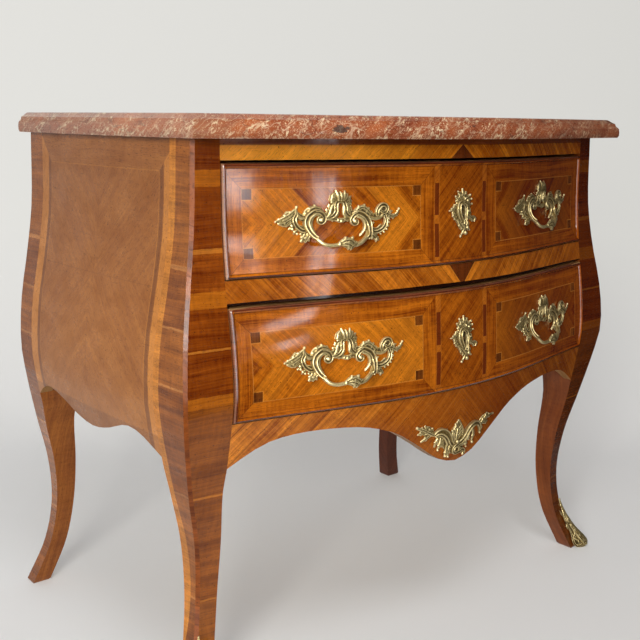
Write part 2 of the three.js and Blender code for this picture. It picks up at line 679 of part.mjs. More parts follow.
function addBack() {
  const frameY = [BACK_FRONT, BACK_REAR];
  const middleY = (BACK_FRONT + BACK_REAR) / 2;
  const panelY = [middleY - BACK_PANEL_THICKNESS / 2, middleY + BACK_PANEL_THICKNESS / 2];
  const lowRail = [APRON_TOP - LOWER_RAIL_HEIGHT, APRON_TOP - LOWER_RAIL_HEIGHT + BACK_FRAME_WIDTH];
  const topRail = [CARCASS_HEIGHT - BACK_FRAME_WIDTH, CARCASS_HEIGHT];
  const muntinHalf = BACK_FRAME_WIDTH / 2;
  const between = [lowRail[1], topRail[0]];
  addPiece('back_bottom_rail', board(across, frameY, lowRail), 'pine');
  addPiece('back_top_rail', board(across, frameY, topRail), 'pine');
  addPiece('back_muntin', board([-muntinHalf, muntinHalf], frameY, between), 'pine');
  addPair('back_SIDE_panel', board([muntinHalf, OPENING_HALF_WIDTH], panelY, between), 'pine');
}

// The boards that a drawer runs on, between, under and against
function addDrawerWays(drawer) {
  const { name, bottom } = drawer;
  const top = bottom - RUNNER_GAP;
  const runner = board(runnerX, [RAIL_BACK, BACK_FRONT], [top - RUNNER_HEIGHT, top]);
  const guideX = [OPENING_HALF_WIDTH, OPENING_HALF_WIDTH + GUIDE_WIDTH];
  const guide = board(guideX, [FRONT_POST_REAR, REAR_POST_FRONT], [top, top + GUIDE_HEIGHT]);
  const stopX = [BOX_INNER_HALF - STOP_WIDTH, BOX_INNER_HALF];
  const stop = board(stopX, [DRAWER_BACK + FIT, BACK_FRONT], [top, top + STOP_HEIGHT]);
  addPair(`${name}_SIDE_runner`, runner, 'oak');
  addPair(`${name}_SIDE_guide`, guide, 'oak');
  addPair(`${name}_SIDE_stop`, stop, 'oak');
}

function dustBoard(drawer) {
  const half = OPENING_HALF_WIDTH - RUNNER_WIDTH;
  const low = drawer.bottom - RUNNER_GAP - RUNNER_HEIGHT / 2;
  return board([-half, half], [RAIL_BACK, BACK_FRONT], [low - DUST_BOARD_THICKNESS, low]);
}

addBack();
addDrawerWays(upperDrawer);
addDrawerWays(lowerDrawer);
addPiece('dust_board', dustBoard(upperDrawer), 'pine');
addPiece('bottom_board', dustBoard(lowerDrawer), 'pine');
const topBoardZ = [CARCASS_HEIGHT - TOP_BOARD_THICKNESS, CARCASS_HEIGHT];
addPiece('top_board', board(across, [RAIL_BACK, BACK_FRONT], topBoardZ), 'pine');
const kickerZ = [UPPER_DRAWER_TOP - KICKER_DROP, topBoardZ[0]];
addPair('upper_SIDE_kicker', board(runnerX, [RAIL_BACK, BACK_FRONT], kickerZ), 'oak');

// Bronzes: each casting is a set of tapering strokes, joined where they cross

// A stroke is rows of [across, up, out, thickness]. Its section is a ridge, wider than it is
// deep, and it stands just clear of the wood.
const STROKE_SIDES = 4;
const STROKE_DEPTH_SHARE = 0.75;
const outward = new THREE.Vector3(0, -1, 0);

function strokeRing(middles, i) {
  const { at, half } = middles[i];
  const before = middles[Math.max(i - 1, 0)].at;
  const after = middles[Math.min(i + 1, middles.length - 1)].at;
  const along = after.clone().sub(before).normalize();
  const aside = new THREE.Vector3().crossVectors(along, outward).normalize();
  const rise = new THREE.Vector3().crossVectors(aside, along).normalize();
  return steps(0, 2 * Math.PI, STROKE_SIDES).slice(0, -1).map((angle) => at.clone()
    .addScaledVector(aside, half * Math.sin(angle))
    .addScaledVector(rise, STROKE_DEPTH_SHARE * half * Math.cos(angle)));
}

function strokeSolid(rows, toPlace, thicknessUnit) {
  const middles = rows.map(([across, up, out, thickness]) => {
    const half = (thickness * thicknessUnit) / 2;
    return { at: toPlace(across, up, out, STROKE_DEPTH_SHARE * half + FIT), half };
  });
  const points = middles.flatMap((_, i) => strokeRing(middles, i));
  const last = points.length - STROKE_SIDES;
  const faces = [];
  for (let ring = 0; ring < last; ring += STROKE_SIDES) {
    for (let i = 0; i < STROKE_SIDES; i += 1) {
      const a = ring + i;
      const b = ring + ((i + 1) % STROKE_SIDES);
      faces.push([a, b, b + STROKE_SIDES], [a, b + STROKE_SIDES, a + STROKE_SIDES]);
    }
  }
  for (let i = 1; i < STROKE_SIDES - 1; i += 1) {
    faces.push([0, i + 1, i], [last, last + i, last + i + 1]);
  }
  return solidFrom(points, faces);
}

// A casting seated on the front at a centre, of a width, a height and a reach
function casting(strokes, size, centre) {
  const toPlace = (across, up, out, seat) => {
    const x = centre.x + across * size.width;
    const z = centre.z + up * size.height;
    return new THREE.Vector3(x, frontFace(x, z) - seat - out * size.reach, z);
  };
  return join(strokes.map((rows) => strokeSolid(rows, toPlace, size.height)));
}

// The pull, as shares of its width, height, reach and again height: a crested cartouche
// with a slot, two large scrolls with the bail between them, and a leafy wing on each side
const PULL_STROKES_SHARES = [
  [[0.03, 0.3, 0, 0.06], [0, 0.2, 0, 0.06], [0, 0.1, 0.05, 0.06], [-0.05, 0.04, 0.05, 0.06],
    [-0.087, 0.05, 0.1, 0.06]],
  [[0.03, 0.3, 0, 0.06], [0.067, 0.2, 0, 0.06], [0.072, 0.1, 0.05, 0.06], [0.1, 0.05, 0.05, 0.06],
    [0.123, 0.04, 0.1, 0.06]],
  [[-0.05, 0.04, 0.05, 0.06], [0.035, 0, 0.1, 0.07], [0.1, 0.05, 0.05, 0.06]],
  [[0.03, 0.3, 0, 0.09], [0, 0.4, 0, 0.09], [-0.012, 0.48, 0, 0.03]],
  [[0.03, 0.3, 0, 0.09], [0.07, 0.39, 0, 0.1], [0.1, 0.45, 0, 0.03]],
  [[0.03, 0.3, 0, 0.07], [-0.03, 0.27, 0, 0.07], [-0.06, 0.14, 0, 0.07], [-0.087, 0.05, 0.1, 0.06]],
  [[0.03, 0.3, 0, 0.07], [0.09, 0.27, 0, 0.07], [0.11, 0.15, 0, 0.07], [0.123, 0.04, 0.1, 0.06]],
  [[-0.138, -0.03, 0.15, 0.05], [-0.103, 0, 0.15, 0.05], [-0.087, 0.05, 0.1, 0.06], [-0.13, 0.13, 0.1, 0.06],
    [-0.195, 0.12, 0.13, 0.07], [-0.236, 0, 0.18, 0.08], [-0.23, -0.15, 0.28, 0.08], [-0.2, -0.26, 0.5, 0.07]],
  [[0.149, -0.05, 0.15, 0.05], [0.125, -0.02, 0.15, 0.05], [0.123, 0.04, 0.1, 0.06], [0.17, 0.1, 0.1, 0.06],
    [0.226, 0.06, 0.13, 0.07], [0.262, -0.08, 0.18, 0.08], [0.25, -0.19, 0.28, 0.08], [0.22, -0.27, 0.5, 0.07]],
  [[-0.2, -0.26, 0.5, 0.07], [-0.17, -0.34, 0.7, 0.06], [-0.1, -0.375, 0.82, 0.055], [0, -0.37, 0.85, 0.055],
    [0.1, -0.38, 0.82, 0.055], [0.17, -0.34, 0.7, 0.055], [0.22, -0.27, 0.5, 0.07]],
  [[-0.05, -0.37, 0.84, 0.06], [0.01, -0.35, 0.86, 0.1], [0.07, -0.39, 0.84, 0.04]],
  [[0.01, -0.37, 0.85, 0.07], [0.03, -0.42, 0.84, 0.05], [0.047, -0.47, 0.82, 0.025]],
  [[-0.087, 0.05, 0.1, 0.06], [-0.14, 0.2, 0.05, 0.08], [-0.2, 0.2, 0.05, 0.08], [-0.28, 0.05, 0, 0.06]],
  [[0.123, 0.04, 0.1, 0.06], [0.18, 0.17, 0.05, 0.08], [0.24, 0.16, 0.05, 0.08], [0.29, 0.03, 0, 0.07]],
  [[-0.236, 0, 0.18, 0.08], [-0.28, 0.05, 0, 0.06], [-0.31, 0.1, 0, 0.07], [-0.31, 0.2, 0, 0.03]],
  [[-0.31, 0.1, 0, 0.07], [-0.33, -0.03, 0, 0.08], [-0.295, -0.13, 0, 0.08], [-0.23, -0.15, 0.28, 0.08]],
  [[-0.31, 0.1, 0, 0.07], [-0.38, 0.06, 0, 0.12], [-0.465, 0, 0, 0.03]],
  [[-0.33, -0.03, 0, 0.08], [-0.38, -0.05, 0, 0.08], [-0.43, -0.07, 0, 0.03]],
  [[-0.33, -0.03, 0, 0.08], [-0.35, -0.13, 0, 0.06], [-0.32, -0.2, 0, 0.03]],
  [[-0.23, -0.15, 0.28, 0.08], [-0.225, -0.26, 0.05, 0.08], [-0.25, -0.35, 0, 0.03]],
  [[0.262, -0.08, 0.18, 0.08], [0.29, 0.03, 0, 0.07], [0.35, 0.01, 0, 0.07], [0.4, 0.06, 0, 0.07]],
  [[0.4, 0.06, 0, 0.07], [0.418, -0.06, 0, 0.08], [0.38, -0.17, 0, 0.08], [0.31, -0.21, 0, 0.07],
    [0.25, -0.19, 0.28, 0.08]],
  [[0.4, 0.06, 0, 0.07], [0.35, 0.08, 0.05, 0.07], [0.345, 0.16, 0.05, 0.08], [0.39, 0.22, 0.05, 0.08],
    [0.42, 0.15, 0, 0.04]],
  [[0.4, 0.06, 0, 0.07], [0.46, 0.03, 0, 0.07], [0.51, 0.04, 0, 0.05], [0.53, 0.13, 0, 0.025]],
  [[0.25, -0.19, 0.28, 0.08], [0.29, -0.28, 0.05, 0.07], [0.35, -0.35, 0, 0.03]],
];

// The escutcheon round its keyhole, as shares of its own width, height, reach and height
const ESCUTCHEON_STROKES_SHARES = [
  [[0, 0.22, 0, 0.07], [-0.16, 0.12, 0, 0.08], [-0.17, -0.06, 0, 0.09], [0.04, -0.3, 0, 0.07],
    [0.05, -0.42, 0, 0.04]],
  [[0.02, 0.22, 0, 0.07], [0.16, 0.12, 0, 0.08], [0.14, -0.06, 0, 0.08], [-0.05, -0.3, 0, 0.07],
    [-0.09, -0.48, 0, 0.03]],
  [[0, 0.2, 0, 0.14], [0.03, 0.34, 0, 0.13], [0.01, 0.48, 0, 0.03]],
  [[0.1, 0.18, 0, 0.1], [0.25, 0.28, 0, 0.11], [0.2, 0.43, 0, 0.04]],
  [[-0.08, 0.2, 0, 0.1], [-0.2, 0.29, 0, 0.1], [-0.16, 0.43, 0, 0.03]],
  [[-0.15, 0.1, 0, 0.09], [-0.33, 0.13, 0, 0.09], [-0.48, 0.04, 0, 0.03]],
  [[0.13, 0.02, 0, 0.08], [0.35, 0.04, 0, 0.09], [0.48, -0.12, 0, 0.03]],
];

// The mount on the drop of the apron, in the same way
const MOUNT_STROKES_SHARES = [
  [[-0.06, -0.18, 0, 0.09], [-0.1, 0.1, 0.05, 0.12], [-0.06, 0.3, 0.05, 0.12], [-0.02, 0.47, 0, 0.03]],
  [[-0.06, -0.18, 0, 0.09], [0.02, 0.05, 0.05, 0.1], [0, 0.25, 0.05, 0.07], [-0.02, 0.47, 0, 0.03]],
  [[-0.06, -0.18, 0, 0.09], [-0.13, 0, 0.05, 0.09], [-0.2, 0.27, 0.05, 0.1], [-0.28, 0.31, 0, 0.1],
    [-0.33, 0.2, 0, 0.08]],
  [[-0.33, 0.2, 0, 0.08], [-0.38, 0.3, 0, 0.1], [-0.43, 0.42, 0, 0.1], [-0.52, 0.48, 0, 0.04]],
  [[-0.38, 0.3, 0, 0.1], [-0.45, 0.12, 0, 0.04]],
  [[-0.2, 0.27, 0.05, 0.1], [-0.24, 0.02, 0, 0.08], [-0.25, -0.18, 0, 0.04]],
  [[-0.28, 0.31, 0, 0.1], [-0.29, 0.05, 0, 0.07], [-0.3, -0.1, 0, 0.04]],
  [[-0.06, -0.18, 0, 0.09], [-0.12, -0.25, 0, 0.09], [-0.15, -0.42, 0, 0.05]],
  [[-0.06, -0.18, 0, 0.09], [-0.02, -0.32, 0, 0.1], [0.06, -0.42, 0, 0.05]],
  [[-0.06, -0.18, 0, 0.09], [0.07, -0.18, 0, 0.09], [0.12, 0.05, 0.05, 0.09], [0.18, 0.24, 0.05, 0.1],
    [0.24, 0.2, 0, 0.09], [0.28, 0.06, 0, 0.05]],
  [[0.24, 0.2, 0, 0.09], [0.33, 0.28, 0, 0.1], [0.4, 0.38, 0, 0.09], [0.47, 0.36, 0, 0.04]],
  [[0.12, 0.05, 0.05, 0.09], [0.18, -0.08, 0, 0.07], [0.19, -0.24, 0, 0.04]],
];

function addPulls(drawer) {
  const size = { width: PULL_WIDTH, height: PULL_HEIGHT, reach: PULL_REACH };
  const places = { left: -PULL_CENTRE, right: PULL_CENTRE };
  Object.entries(places).forEach(([side, x]) => {
    const pull = casting(PULL_STROKES_SHARES, size, { x, z: drawer.pullHeight });
    addPiece(`${drawer.name}_${side}_pull`, pull, 'bronze');
  });
}

function escutcheon(drawer) {
  const size = { width: ESCUTCHEON_WIDTH, height: ESCUTCHEON_HEIGHT, reach: BRONZE_RELIEF };
  return casting(ESCUTCHEON_STROKES_SHARES, size, { x: 0, z: drawer.keyholeHeight });
}

function apronMount() {
  const size = { width: MOUNT_WIDTH, height: MOUNT_HEIGHT, reach: BRONZE_RELIEF };
  return casting(MOUNT_STROKES_SHARES, size, { x: 0, z: MOUNT_CENTRE_HEIGHT });
}

// The sabot: a cast leaf that wraps the outer arris of a front foot, with a rolled toe. It
// has a ring at each of the leg's own lowest rings, so that it follows the leg all the way up.
const SABOT_WRAP_SHARES = [1, 1.05, 0.7, 0.75, 0.55, 0.4, 0.12];
const SABOT_BULGE_SHARES = [4, 5, 2.2, 1.3, 1, 0.8, 0.4];

function sabotRing(z, wrapShare, bulgeShare) {
  const [inner, frontArris, sideArris, rear] = frontPostRing(z);
  const alongFront = inner.clone().sub(frontArris).normalize();
  const alongSide = rear.clone().sub(sideArris).normalize();
  const outFront = new THREE.Vector3(alongFront.y, -alongFront.x, 0);
  const outSide = new THREE.Vector3(-alongSide.y, alongSide.x, 0);
  outFront.multiplyScalar(-Math.sign(outFront.y));
  outSide.multiplyScalar(Math.sign(outSide.x));
  const wrap = SABOT_WRAP * wrapShare;
  const bulge = SABOT_THICKNESS * bulgeShare;
  const frontEnd = frontArris.clone().addScaledVector(alongFront, wrap).addScaledVector(outFront, FIT);
  const sideEnd = sideArris.clone().addScaledVector(alongSide, wrap).addScaledVector(outSide, FIT);
  const corner = new THREE.Vector3(sideArris.x, frontArris.y, z);
  return [
    frontEnd,
    frontEnd.clone().addScaledVector(alongFront, -bulge / 2).addScaledVector(outFront, bulge / 2),
    corner.clone().addScaledVector(outFront, bulge).addScaledVector(outSide, bulge),
    sideEnd.clone().addScaledVector(alongSide, -bulge / 2).addScaledVector(outSide, bulge / 2),
    sideEnd,
    sideArris.clone().addScaledVector(outSide, FIT).addScaledVector(outFront, FIT),
    frontArris.clone().addScaledVector(outSide, FIT).addScaledVector(outFront, FIT),
  ];
}

function sabot() {
  const rings = SABOT_WRAP_SHARES.map((wrap, i) => sabotRing(legHeights[i], wrap, SABOT_BULGE_SHARES[i]));
  const onFloor = rings[0].map((p) => new THREE.Vector3(p.x, p.y, 0));
  return stackOfRings([onFloor, ...rings]);
}

[upperDrawer, lowerDrawer].forEach((drawer) => {
  addPiece(`${drawer.name}_escutcheon`, escutcheon(drawer), 'bronze');
  addPulls(drawer);
});
addPiece('apron_mount', apronMount(), 'bronze');
addPair('SIDE_sabot', sabot(), 'bronze');

const depthMiddle = (backFace(FOOT_CHAMFER) - MARBLE_FRONT_BOW) / 2;
commode.position.y = -depthMiddle;

export default commode;
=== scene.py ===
"""A bombe commode: marquetry veneers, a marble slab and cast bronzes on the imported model.

Lengths are millimetres, apart from those of the stage, camera and lamps at the end, which are
metres. Heights are above the floor, x runs to the commode's right-hand side as the camera sees
it, y is measured from the middle of its depth, and the front faces -Y.
"""
import json
import math

import bmesh
import bpy
from mathutils import Matrix, Vector
from mathutils.bvhtree import BVHTree


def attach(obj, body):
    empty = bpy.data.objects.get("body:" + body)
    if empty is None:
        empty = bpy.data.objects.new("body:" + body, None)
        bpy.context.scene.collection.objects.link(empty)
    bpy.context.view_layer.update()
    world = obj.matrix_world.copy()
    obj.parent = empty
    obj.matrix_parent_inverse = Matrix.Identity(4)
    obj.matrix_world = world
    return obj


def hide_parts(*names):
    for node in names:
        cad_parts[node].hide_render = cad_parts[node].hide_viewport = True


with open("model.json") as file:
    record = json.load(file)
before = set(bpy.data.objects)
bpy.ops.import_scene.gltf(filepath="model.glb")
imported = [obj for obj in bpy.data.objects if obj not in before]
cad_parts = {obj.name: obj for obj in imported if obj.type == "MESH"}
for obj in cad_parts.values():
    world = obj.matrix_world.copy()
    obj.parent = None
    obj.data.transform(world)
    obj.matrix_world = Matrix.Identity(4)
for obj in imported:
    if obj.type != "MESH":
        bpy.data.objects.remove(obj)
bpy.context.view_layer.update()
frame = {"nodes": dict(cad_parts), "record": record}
nodes = frame["nodes"]
MM = 0.001
DEPTH_MIDDLE = 251.087

# Levels and widths of the front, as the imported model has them
CARCASS_HEIGHT = 818
DRAWER_HALF_WIDTH = 402
UPPER_DRAWER = (627.1, 784.3)
LOWER_DRAWER = (426.9, 588.2)
MIDDLE_RAIL_LOW = 592.4
FRIEZE_LOW = 788.5
BEAD_WIDTH = 7
FRONT_END_SETBACK = 37
FRONT_END_SWELL = 29
FRONT_CENTRE_REACH = 33
FRONT_CENTRE_SWELL = 19.5
SERPENTINE_SHARE = 0.53
HEIGHT_SHARES = (0, 0.098, 0.196, 0.293, 0.391, 0.489, 0.562, 0.66, 0.758, 0.856, 1)
FRONT_END_SWELL_SHARES = (0.62, -0.38, -0.71, -0.44, 0.14, 0.7, 1, 0.8, 0.36, 0.08, 0)
CENTRE_SWELL_SHARES = (0, 0, 0, 0.1, 0.62, 0.96, 1, 0.78, 0.48, 0.2, 0.05)
SIDE_SWELL_SHARES = (0.78, -0.05, -0.36, -0.2, 0.34, 0.79, 1, 0.86, 0.45, 0.12, 0)


# Nodes written as sums

class Field:
    """A number, place or colour that changes over a surface. Sums with it add nodes to its tree."""

    def __init__(self, tree, socket):
        self.tree = tree
        self.socket = socket

    def math(self, operation, *others, clamp=False):
        node = self.tree.nodes.new("ShaderNodeMath")
        node.operation = operation
        node.use_clamp = clamp
        for socket, value in zip(node.inputs, (self, *others)):
            feed(socket, value)
        return Field(self.tree, node.outputs[0])

    def __add__(self, other):
        return self.math("ADD", other)

    def __radd__(self, other):
        return self.math("ADD", other)

    def __sub__(self, other):
        return self.math("SUBTRACT", other)

    def __rsub__(self, other):
        return self.math("MULTIPLY", -1.0).math("ADD", other)

    def __mul__(self, other):
        return self.math("MULTIPLY", other)

    def __rmul__(self, other):
        return self.math("MULTIPLY", other)

    def __truediv__(self, other):
        return self.math("DIVIDE", other)

    def size(self):
        return self.math("ABSOLUTE")

    def least(self, other):
        return self.math("MINIMUM", other)

    def most(self, other):
        return self.math("MAXIMUM", other)

    def past(self, edge, softness=0.5):
        """1 past an edge and 0 before it, over a soft step."""
        return self.math("SUBTRACT", edge).math("DIVIDE", softness).math("ADD", 0.5, clamp=True)

    def between(self, low, high, softness=0.5):
        return self.past(low, softness) * (1 - self.past(high, softness))


def found(tree, kind):
    """The tree's own node of one kind."""
    return next(node for node in tree.nodes if node.bl_idname == kind)


def feed(socket, value):
    """Sets a socket's number or colour, or links a field to it."""
    if isinstance(value, Field):
        value.tree.links.new(value.socket, socket)
    else:
        socket.default_value = value


def chosen(mask, first, second):
    """The first number where the mask is 0 and the second where it is 1."""
    node = mask.tree.nodes.new("ShaderNodeMix")
    node.data_type = "FLOAT"
    for at, value in zip((0, 2, 3), (mask, first, second)):
        feed(node.inputs[at], value)
    return Field(mask.tree, node.outputs[0])


def mixed(mask, first, second):
    """The first colour where the mask is 0 and the second where it is 1."""
    tree = next(value.tree for value in (mask, first, second) if isinstance(value, Field))
    node = tree.nodes.new("ShaderNodeMix")
    node.data_type = "RGBA"
    for at, value in zip((0, 6, 7), (mask, first, second)):
        feed(node.inputs[at], value)
    return Field(tree, node.outputs[2])


def overlaid(colour, *layers):
    """A colour with others laid over it in turn, each given with the mask that shows it."""
    for mask, layer in layers:
        colour = mixed(mask, colour, layer)
    return colour


def combined(tree, x, y, z):
    """A place or colour from three numbers."""
    node = tree.nodes.new("ShaderNodeCombineXYZ")
    for socket, value in zip(node.inputs, (x, y, z)):
        feed(socket, value)
    return Field(tree, node.outputs[0])


def drawn_out(place, sizes):
    """A place with each of its three numbers divided by a size, to stretch a pattern by them."""
    return combined(place[0].tree, *(value / size for value, size in zip(place, sizes)))


def noise(place, detail=2.0, roughness=0.5, distortion=0.0):
    node = place.tree.nodes.new("ShaderNodeTexNoise")
    settings = {"Vector": place, "Scale": 1.0, "Detail": detail, "Roughness": roughness,
                "Distortion": distortion}
    for name, value in settings.items():
        feed(node.inputs[name], value)
    return Field(place.tree, node.outputs["Fac"])


def random_number(value):
    node = value.tree.nodes.new("ShaderNodeTexWhiteNoise")
    node.noise_dimensions = "1D"
    feed(node.inputs["W"], value)
    return Field(value.tree, node.outputs["Value"])


def taken_apart(tree, output):
    """The three numbers of a place or direction."""
    split = tree.nodes.new("ShaderNodeSeparateXYZ")
    tree.links.new(output, split.inputs[0])
    return [Field(tree, number) for number in split.outputs]


def surface_place(tree):
    """Where a point is on the whole commode, in millimetres."""
    coordinates = tree.nodes.new("ShaderNodeTexCoord")
    scaled = tree.nodes.new("ShaderNodeVectorMath")
    scaled.operation = "SCALE"
    scaled.inputs["Scale"].default_value = 1 / MM
    tree.links.new(coordinates.outputs["Object"], scaled.inputs[0])
    return taken_apart(tree, scaled.outputs[0])


def stored(tree, name):
    """A number kept at each point of a mesh."""
    node = tree.nodes.new("ShaderNodeAttribute")
    node.attribute_name = name
    return Field(tree, node.outputs["Fac"])


def paint(red, green, blue):
    """A colour as it is seen, from 0 to 255, as the linear colour that a shader takes."""
    linear = [((level / 255 + 0.055) / 1.055) ** 2.4 if level > 10 else level / 255 / 12.92
              for level in (red, green, blue)]
    return (*linear, 1.0)


# Node groups

def new_group(name, inputs, outputs):
    """An empty node group with named sockets, and its inputs as fields."""
    group = bpy.data.node_groups.new(name, "ShaderNodeTree")
    for in_out, sockets in (("INPUT", inputs), ("OUTPUT", outputs)):
        for socket, kind in sockets.items():
            group.interface.new_socket(socket, in_out=in_out, socket_type=kind)
    entry = group.nodes.new("NodeGroupInput")
    group.nodes.new("NodeGroupOutput")
    return group, {socket.name: Field(group, socket) for socket in entry.outputs if socket.name}


def give(group, **results):
    """Links a group's results to its output, and returns the finished group."""
    end = found(group, "NodeGroupOutput")
    for name, value in results.items():
        feed(end.inputs[name], value)
    return group


def use(tree, group, **values):
    """Places a node group in a tree with its own values, and returns its results."""
    node = tree.nodes.new("ShaderNodeGroup")
    node.node_tree = group
    for name, value in values.items():
        feed(node.inputs[name], value)
    return [Field(tree, output) for output in node.outputs]


FLOAT = "NodeSocketFloat"
VECTOR = "NodeSocketVector"

# The veneer's figure, from streaks, stripes, clouds and ripples: each one's length and width,
# the seed it adds, its detail and roughness, and how strongly it shows
FIGURE_LAYERS = (
    (110, 2.3, 11, 3.0, 0.62, 1.25),
    (260, 9, 23, 2.0, 0.5, 1.5),
    (70, 42, 31, 2.0, 0.5, 0.9),
    (5, 30, 51, 2.0, 0.6, 0.7),
)
WANDER_LENGTH, WANDER_WIDTH, WANDER_REACH = 170, 110, 16
PORE_LENGTH, PORE_WIDTH, PORE_SEED = 9, 0.9, 41
PORE_LIMIT = 0.64
STRIP_SWAY = 1.6
JOINT_HALF_WIDTH = 0.45
PIT_LIMIT = 0.72
SCRATCH_LIMIT = 0.71


def make_grain_group():
    """Straight-grained veneer: how pale it is from 0 to 1, and its pores."""
    inputs = {"Along": FLOAT, "Across": FLOAT, "Seed": FLOAT, "Figure": FLOAT}
    group, given = new_group("veneer_grain", inputs, {"Tone": FLOAT, "Pores": FLOAT})
    along, across, seed = given["Along"], given["Across"], given["Seed"]
    wander = noise(combined(group, along / WANDER_LENGTH, across / WANDER_WIDTH, seed), 1.0) - 0.5
    line = across + WANDER_REACH * wander
    shades = 0.0
    for length, width, more, detail, roughness, strength in FIGURE_LAYERS:
        place = combined(group, along / length, line / width, seed + more)
        shades = shades + strength * (noise(place, detail, roughness) - 0.5)
    shades = shades * given["Figure"]
    pore = noise(combined(group, along / PORE_LENGTH, line / PORE_WIDTH, seed + PORE_SEED), 1.0)
    return give(group, Tone=shades.math("ADD", 0.5, clamp=True), Pores=pore.past(PORE_LIMIT, 0.1))


def make_strips_group():
    """Strips of veneer laid side by side: how much each differs, and the joints between them."""
    inputs = {"Across": FLOAT, "Width": FLOAT, "Seed": FLOAT}
    group, given = new_group("veneer_strips", inputs, {"Shift": FLOAT, "Joint": FLOAT})
    width, seed = given["Width"], given["Seed"]
    sway = noise(combined(group, given["Across"] / (3 * width), seed, seed), 1.0) - 0.5
    place = given["Across"] / width + STRIP_SWAY * sway
    index = place.math("FLOOR")
    to_joint = place.math("FRACT").math("PINGPONG", 0.5) * width
    strength = random_number(index + seed + 0.5).past(0.45, 0.5)
    joint = (1 - to_joint.past(JOINT_HALF_WIDTH, 0.6)) * strength
    return give(group, Shift=random_number(index + seed) - 0.5, Joint=joint)


def make_age_group():
    """Old polish: dark pits and scratches, dull patches, and a surface that is no longer flat."""
    outputs = {"Marks": FLOAT, "Dullness": FLOAT, "Unevenness": FLOAT}
    group, given = new_group("old_polish", {"Place": VECTOR}, outputs)
    place = given["Place"]

    def scaled(size_x, size_y, size_z):
        node = group.nodes.new("ShaderNodeVectorMath")
        node.operation = "DIVIDE"
        feed(node.inputs[0], place)
        feed(node.inputs[1], (size_x, size_y, size_z))
        return Field(group, node.outputs[0])

    pits = noise(scaled(2.4, 2.4, 2.4), 1.0).past(PIT_LIMIT, 0.05)
    worn_places = noise(scaled(45, 45, 45), 1.0).past(0.52, 0.2)
    scratches = noise(scaled(26, 26, 0.9), 1.0, distortion=0.4).past(SCRATCH_LIMIT, 0.05)
    dull = noise(scaled(60, 60, 38), 4.0, 0.6)
    swells = 1.6 * noise(scaled(34, 34, 30), 1.0) + 0.8 * noise(scaled(8, 8, 14), 1.0)
    swells = swells + 0.2 * noise(scaled(2.6, 2.6, 9), 1.0)
    marks = pits.most(0.6 * (scratches * worn_places))
    return give(group, Marks=marks, Dullness=dull, Unevenness=swells)


grain = make_grain_group()
strips = make_strips_group()
old_polish = make_age_group()


# Finishes. Where a finish changes over a long stretch, a pair gives the middle and the length

CRISP = 0.4
STRINGING = paint(226, 150, 62)
DARK_LINE = paint(52, 22, 12)
BEAD_WOOD = paint(128, 56, 20)
PORE_SHADE = paint(40, 16, 6)
SPECK = paint(46, 24, 14)
DULL_POLISH = paint(92, 38, 8)
WOOD_SPECULAR = 0.16
WOOD_COAT_ROUGHNESS = 0.055
WOOD_COAT_IOR = 1.5


def new_finish(name):
    """A new material, its tree and its shader."""
    material = bpy.data.materials.new(name)
    material.use_nodes = True
    tree = material.node_tree
    return material, tree, found(tree, "ShaderNodeBsdfPrincipled")


def bump(height):
    """The normal of a surface that rises by a height in millimetres."""
    node = height.tree.nodes.new("ShaderNodeBump")
    node.inputs["Strength"].default_value = 1.0
    node.inputs["Distance"].default_value = MM
    feed(node.inputs["Height"], height)
    return Field(height.tree, node.outputs["Normal"])


def polish(tree, shader, colour, pores, gloss=0.5, coat=0.3, marks=0.8):
    """Finishes a wood: pores and marks darken it, and its gloss is patchy."""
    x, y, z = surface_place(tree)
    spots, dullness, unevenness = use(tree, old_polish, Place=combined(tree, x, y, z))
    stained = overlaid(colour, (pores * 0.45, PORE_SHADE), (spots * marks, SPECK),
                       (dullness.past(0.56, 0.3) * 0.26, DULL_POLISH))
    feed(shader.inputs["Base Color"], stained)
    feed(shader.inputs["Roughness"], 0.62 - 0.66 * gloss + 0.22 * (dullness - 0.5) + 0.1 * pores)
    feed(shader.inputs["Coat Weight"], (coat * (1.9 - 1.8 * dullness)).math("ADD", 0.0, clamp=True))
    shader.inputs["Specular IOR Level"].default_value = WOOD_SPECULAR
    shader.inputs["Coat Roughness"].default_value = WOOD_COAT_ROUGHNESS
    shader.inputs["Coat IOR"].default_value = WOOD_COAT_IOR
    feed(shader.inputs["Normal"], bump(0.35 * unevenness - 0.05 * pores - 0.06 * spots))


def veneer(tree, along, across, pale, deep, seed=0.0, figure=1.0):
    """A veneer's colour with its grain along one line, and its pores."""
    tone, pores = use(tree, grain, Along=along, Across=across, Seed=seed, Figure=figure)
    return mixed(tone, deep, pale), pores


def turned(first, second):
    """Two fields turned by an eighth of a circle: along the diagonal, and across it."""
    return (first + second) * math.sqrt(0.5), (second - first) * math.sqrt(0.5)


PANEL_PALE = paint(234, 134, 24)
PANEL_DEEP = paint(122, 48, 4)
DARK_STRIP = paint(112, 46, 6)
LIGHT_STRIP = paint(240, 152, 40)
BANDING_PALE = paint(228, 130, 26)
BANDING_DEEP = paint(132, 58, 8)
# Redder veneer at the drawers' right-hand ends, darkened further there as painted shade
RED_VENEER_AND_SHADE = paint(98, 20, 4)
RED_VENEER_AND_SHADE_STRETCH = (60, 190)
MIDDLE_WOOD = paint(118, 50, 6)
DASH_WOOD = paint(104, 38, 14)
DASH_GROUND = paint(214, 128, 40)
SQUARE_WOOD = paint(138, 76, 24)
SQUARE_DEEP = paint(78, 36, 10)
BEAD_DEEP = paint(50, 16, 12)
# A painted highlight along the bead, strongest on its left-hand upright
BEAD_PAINTED_HIGHLIGHT = paint(222, 180, 150)
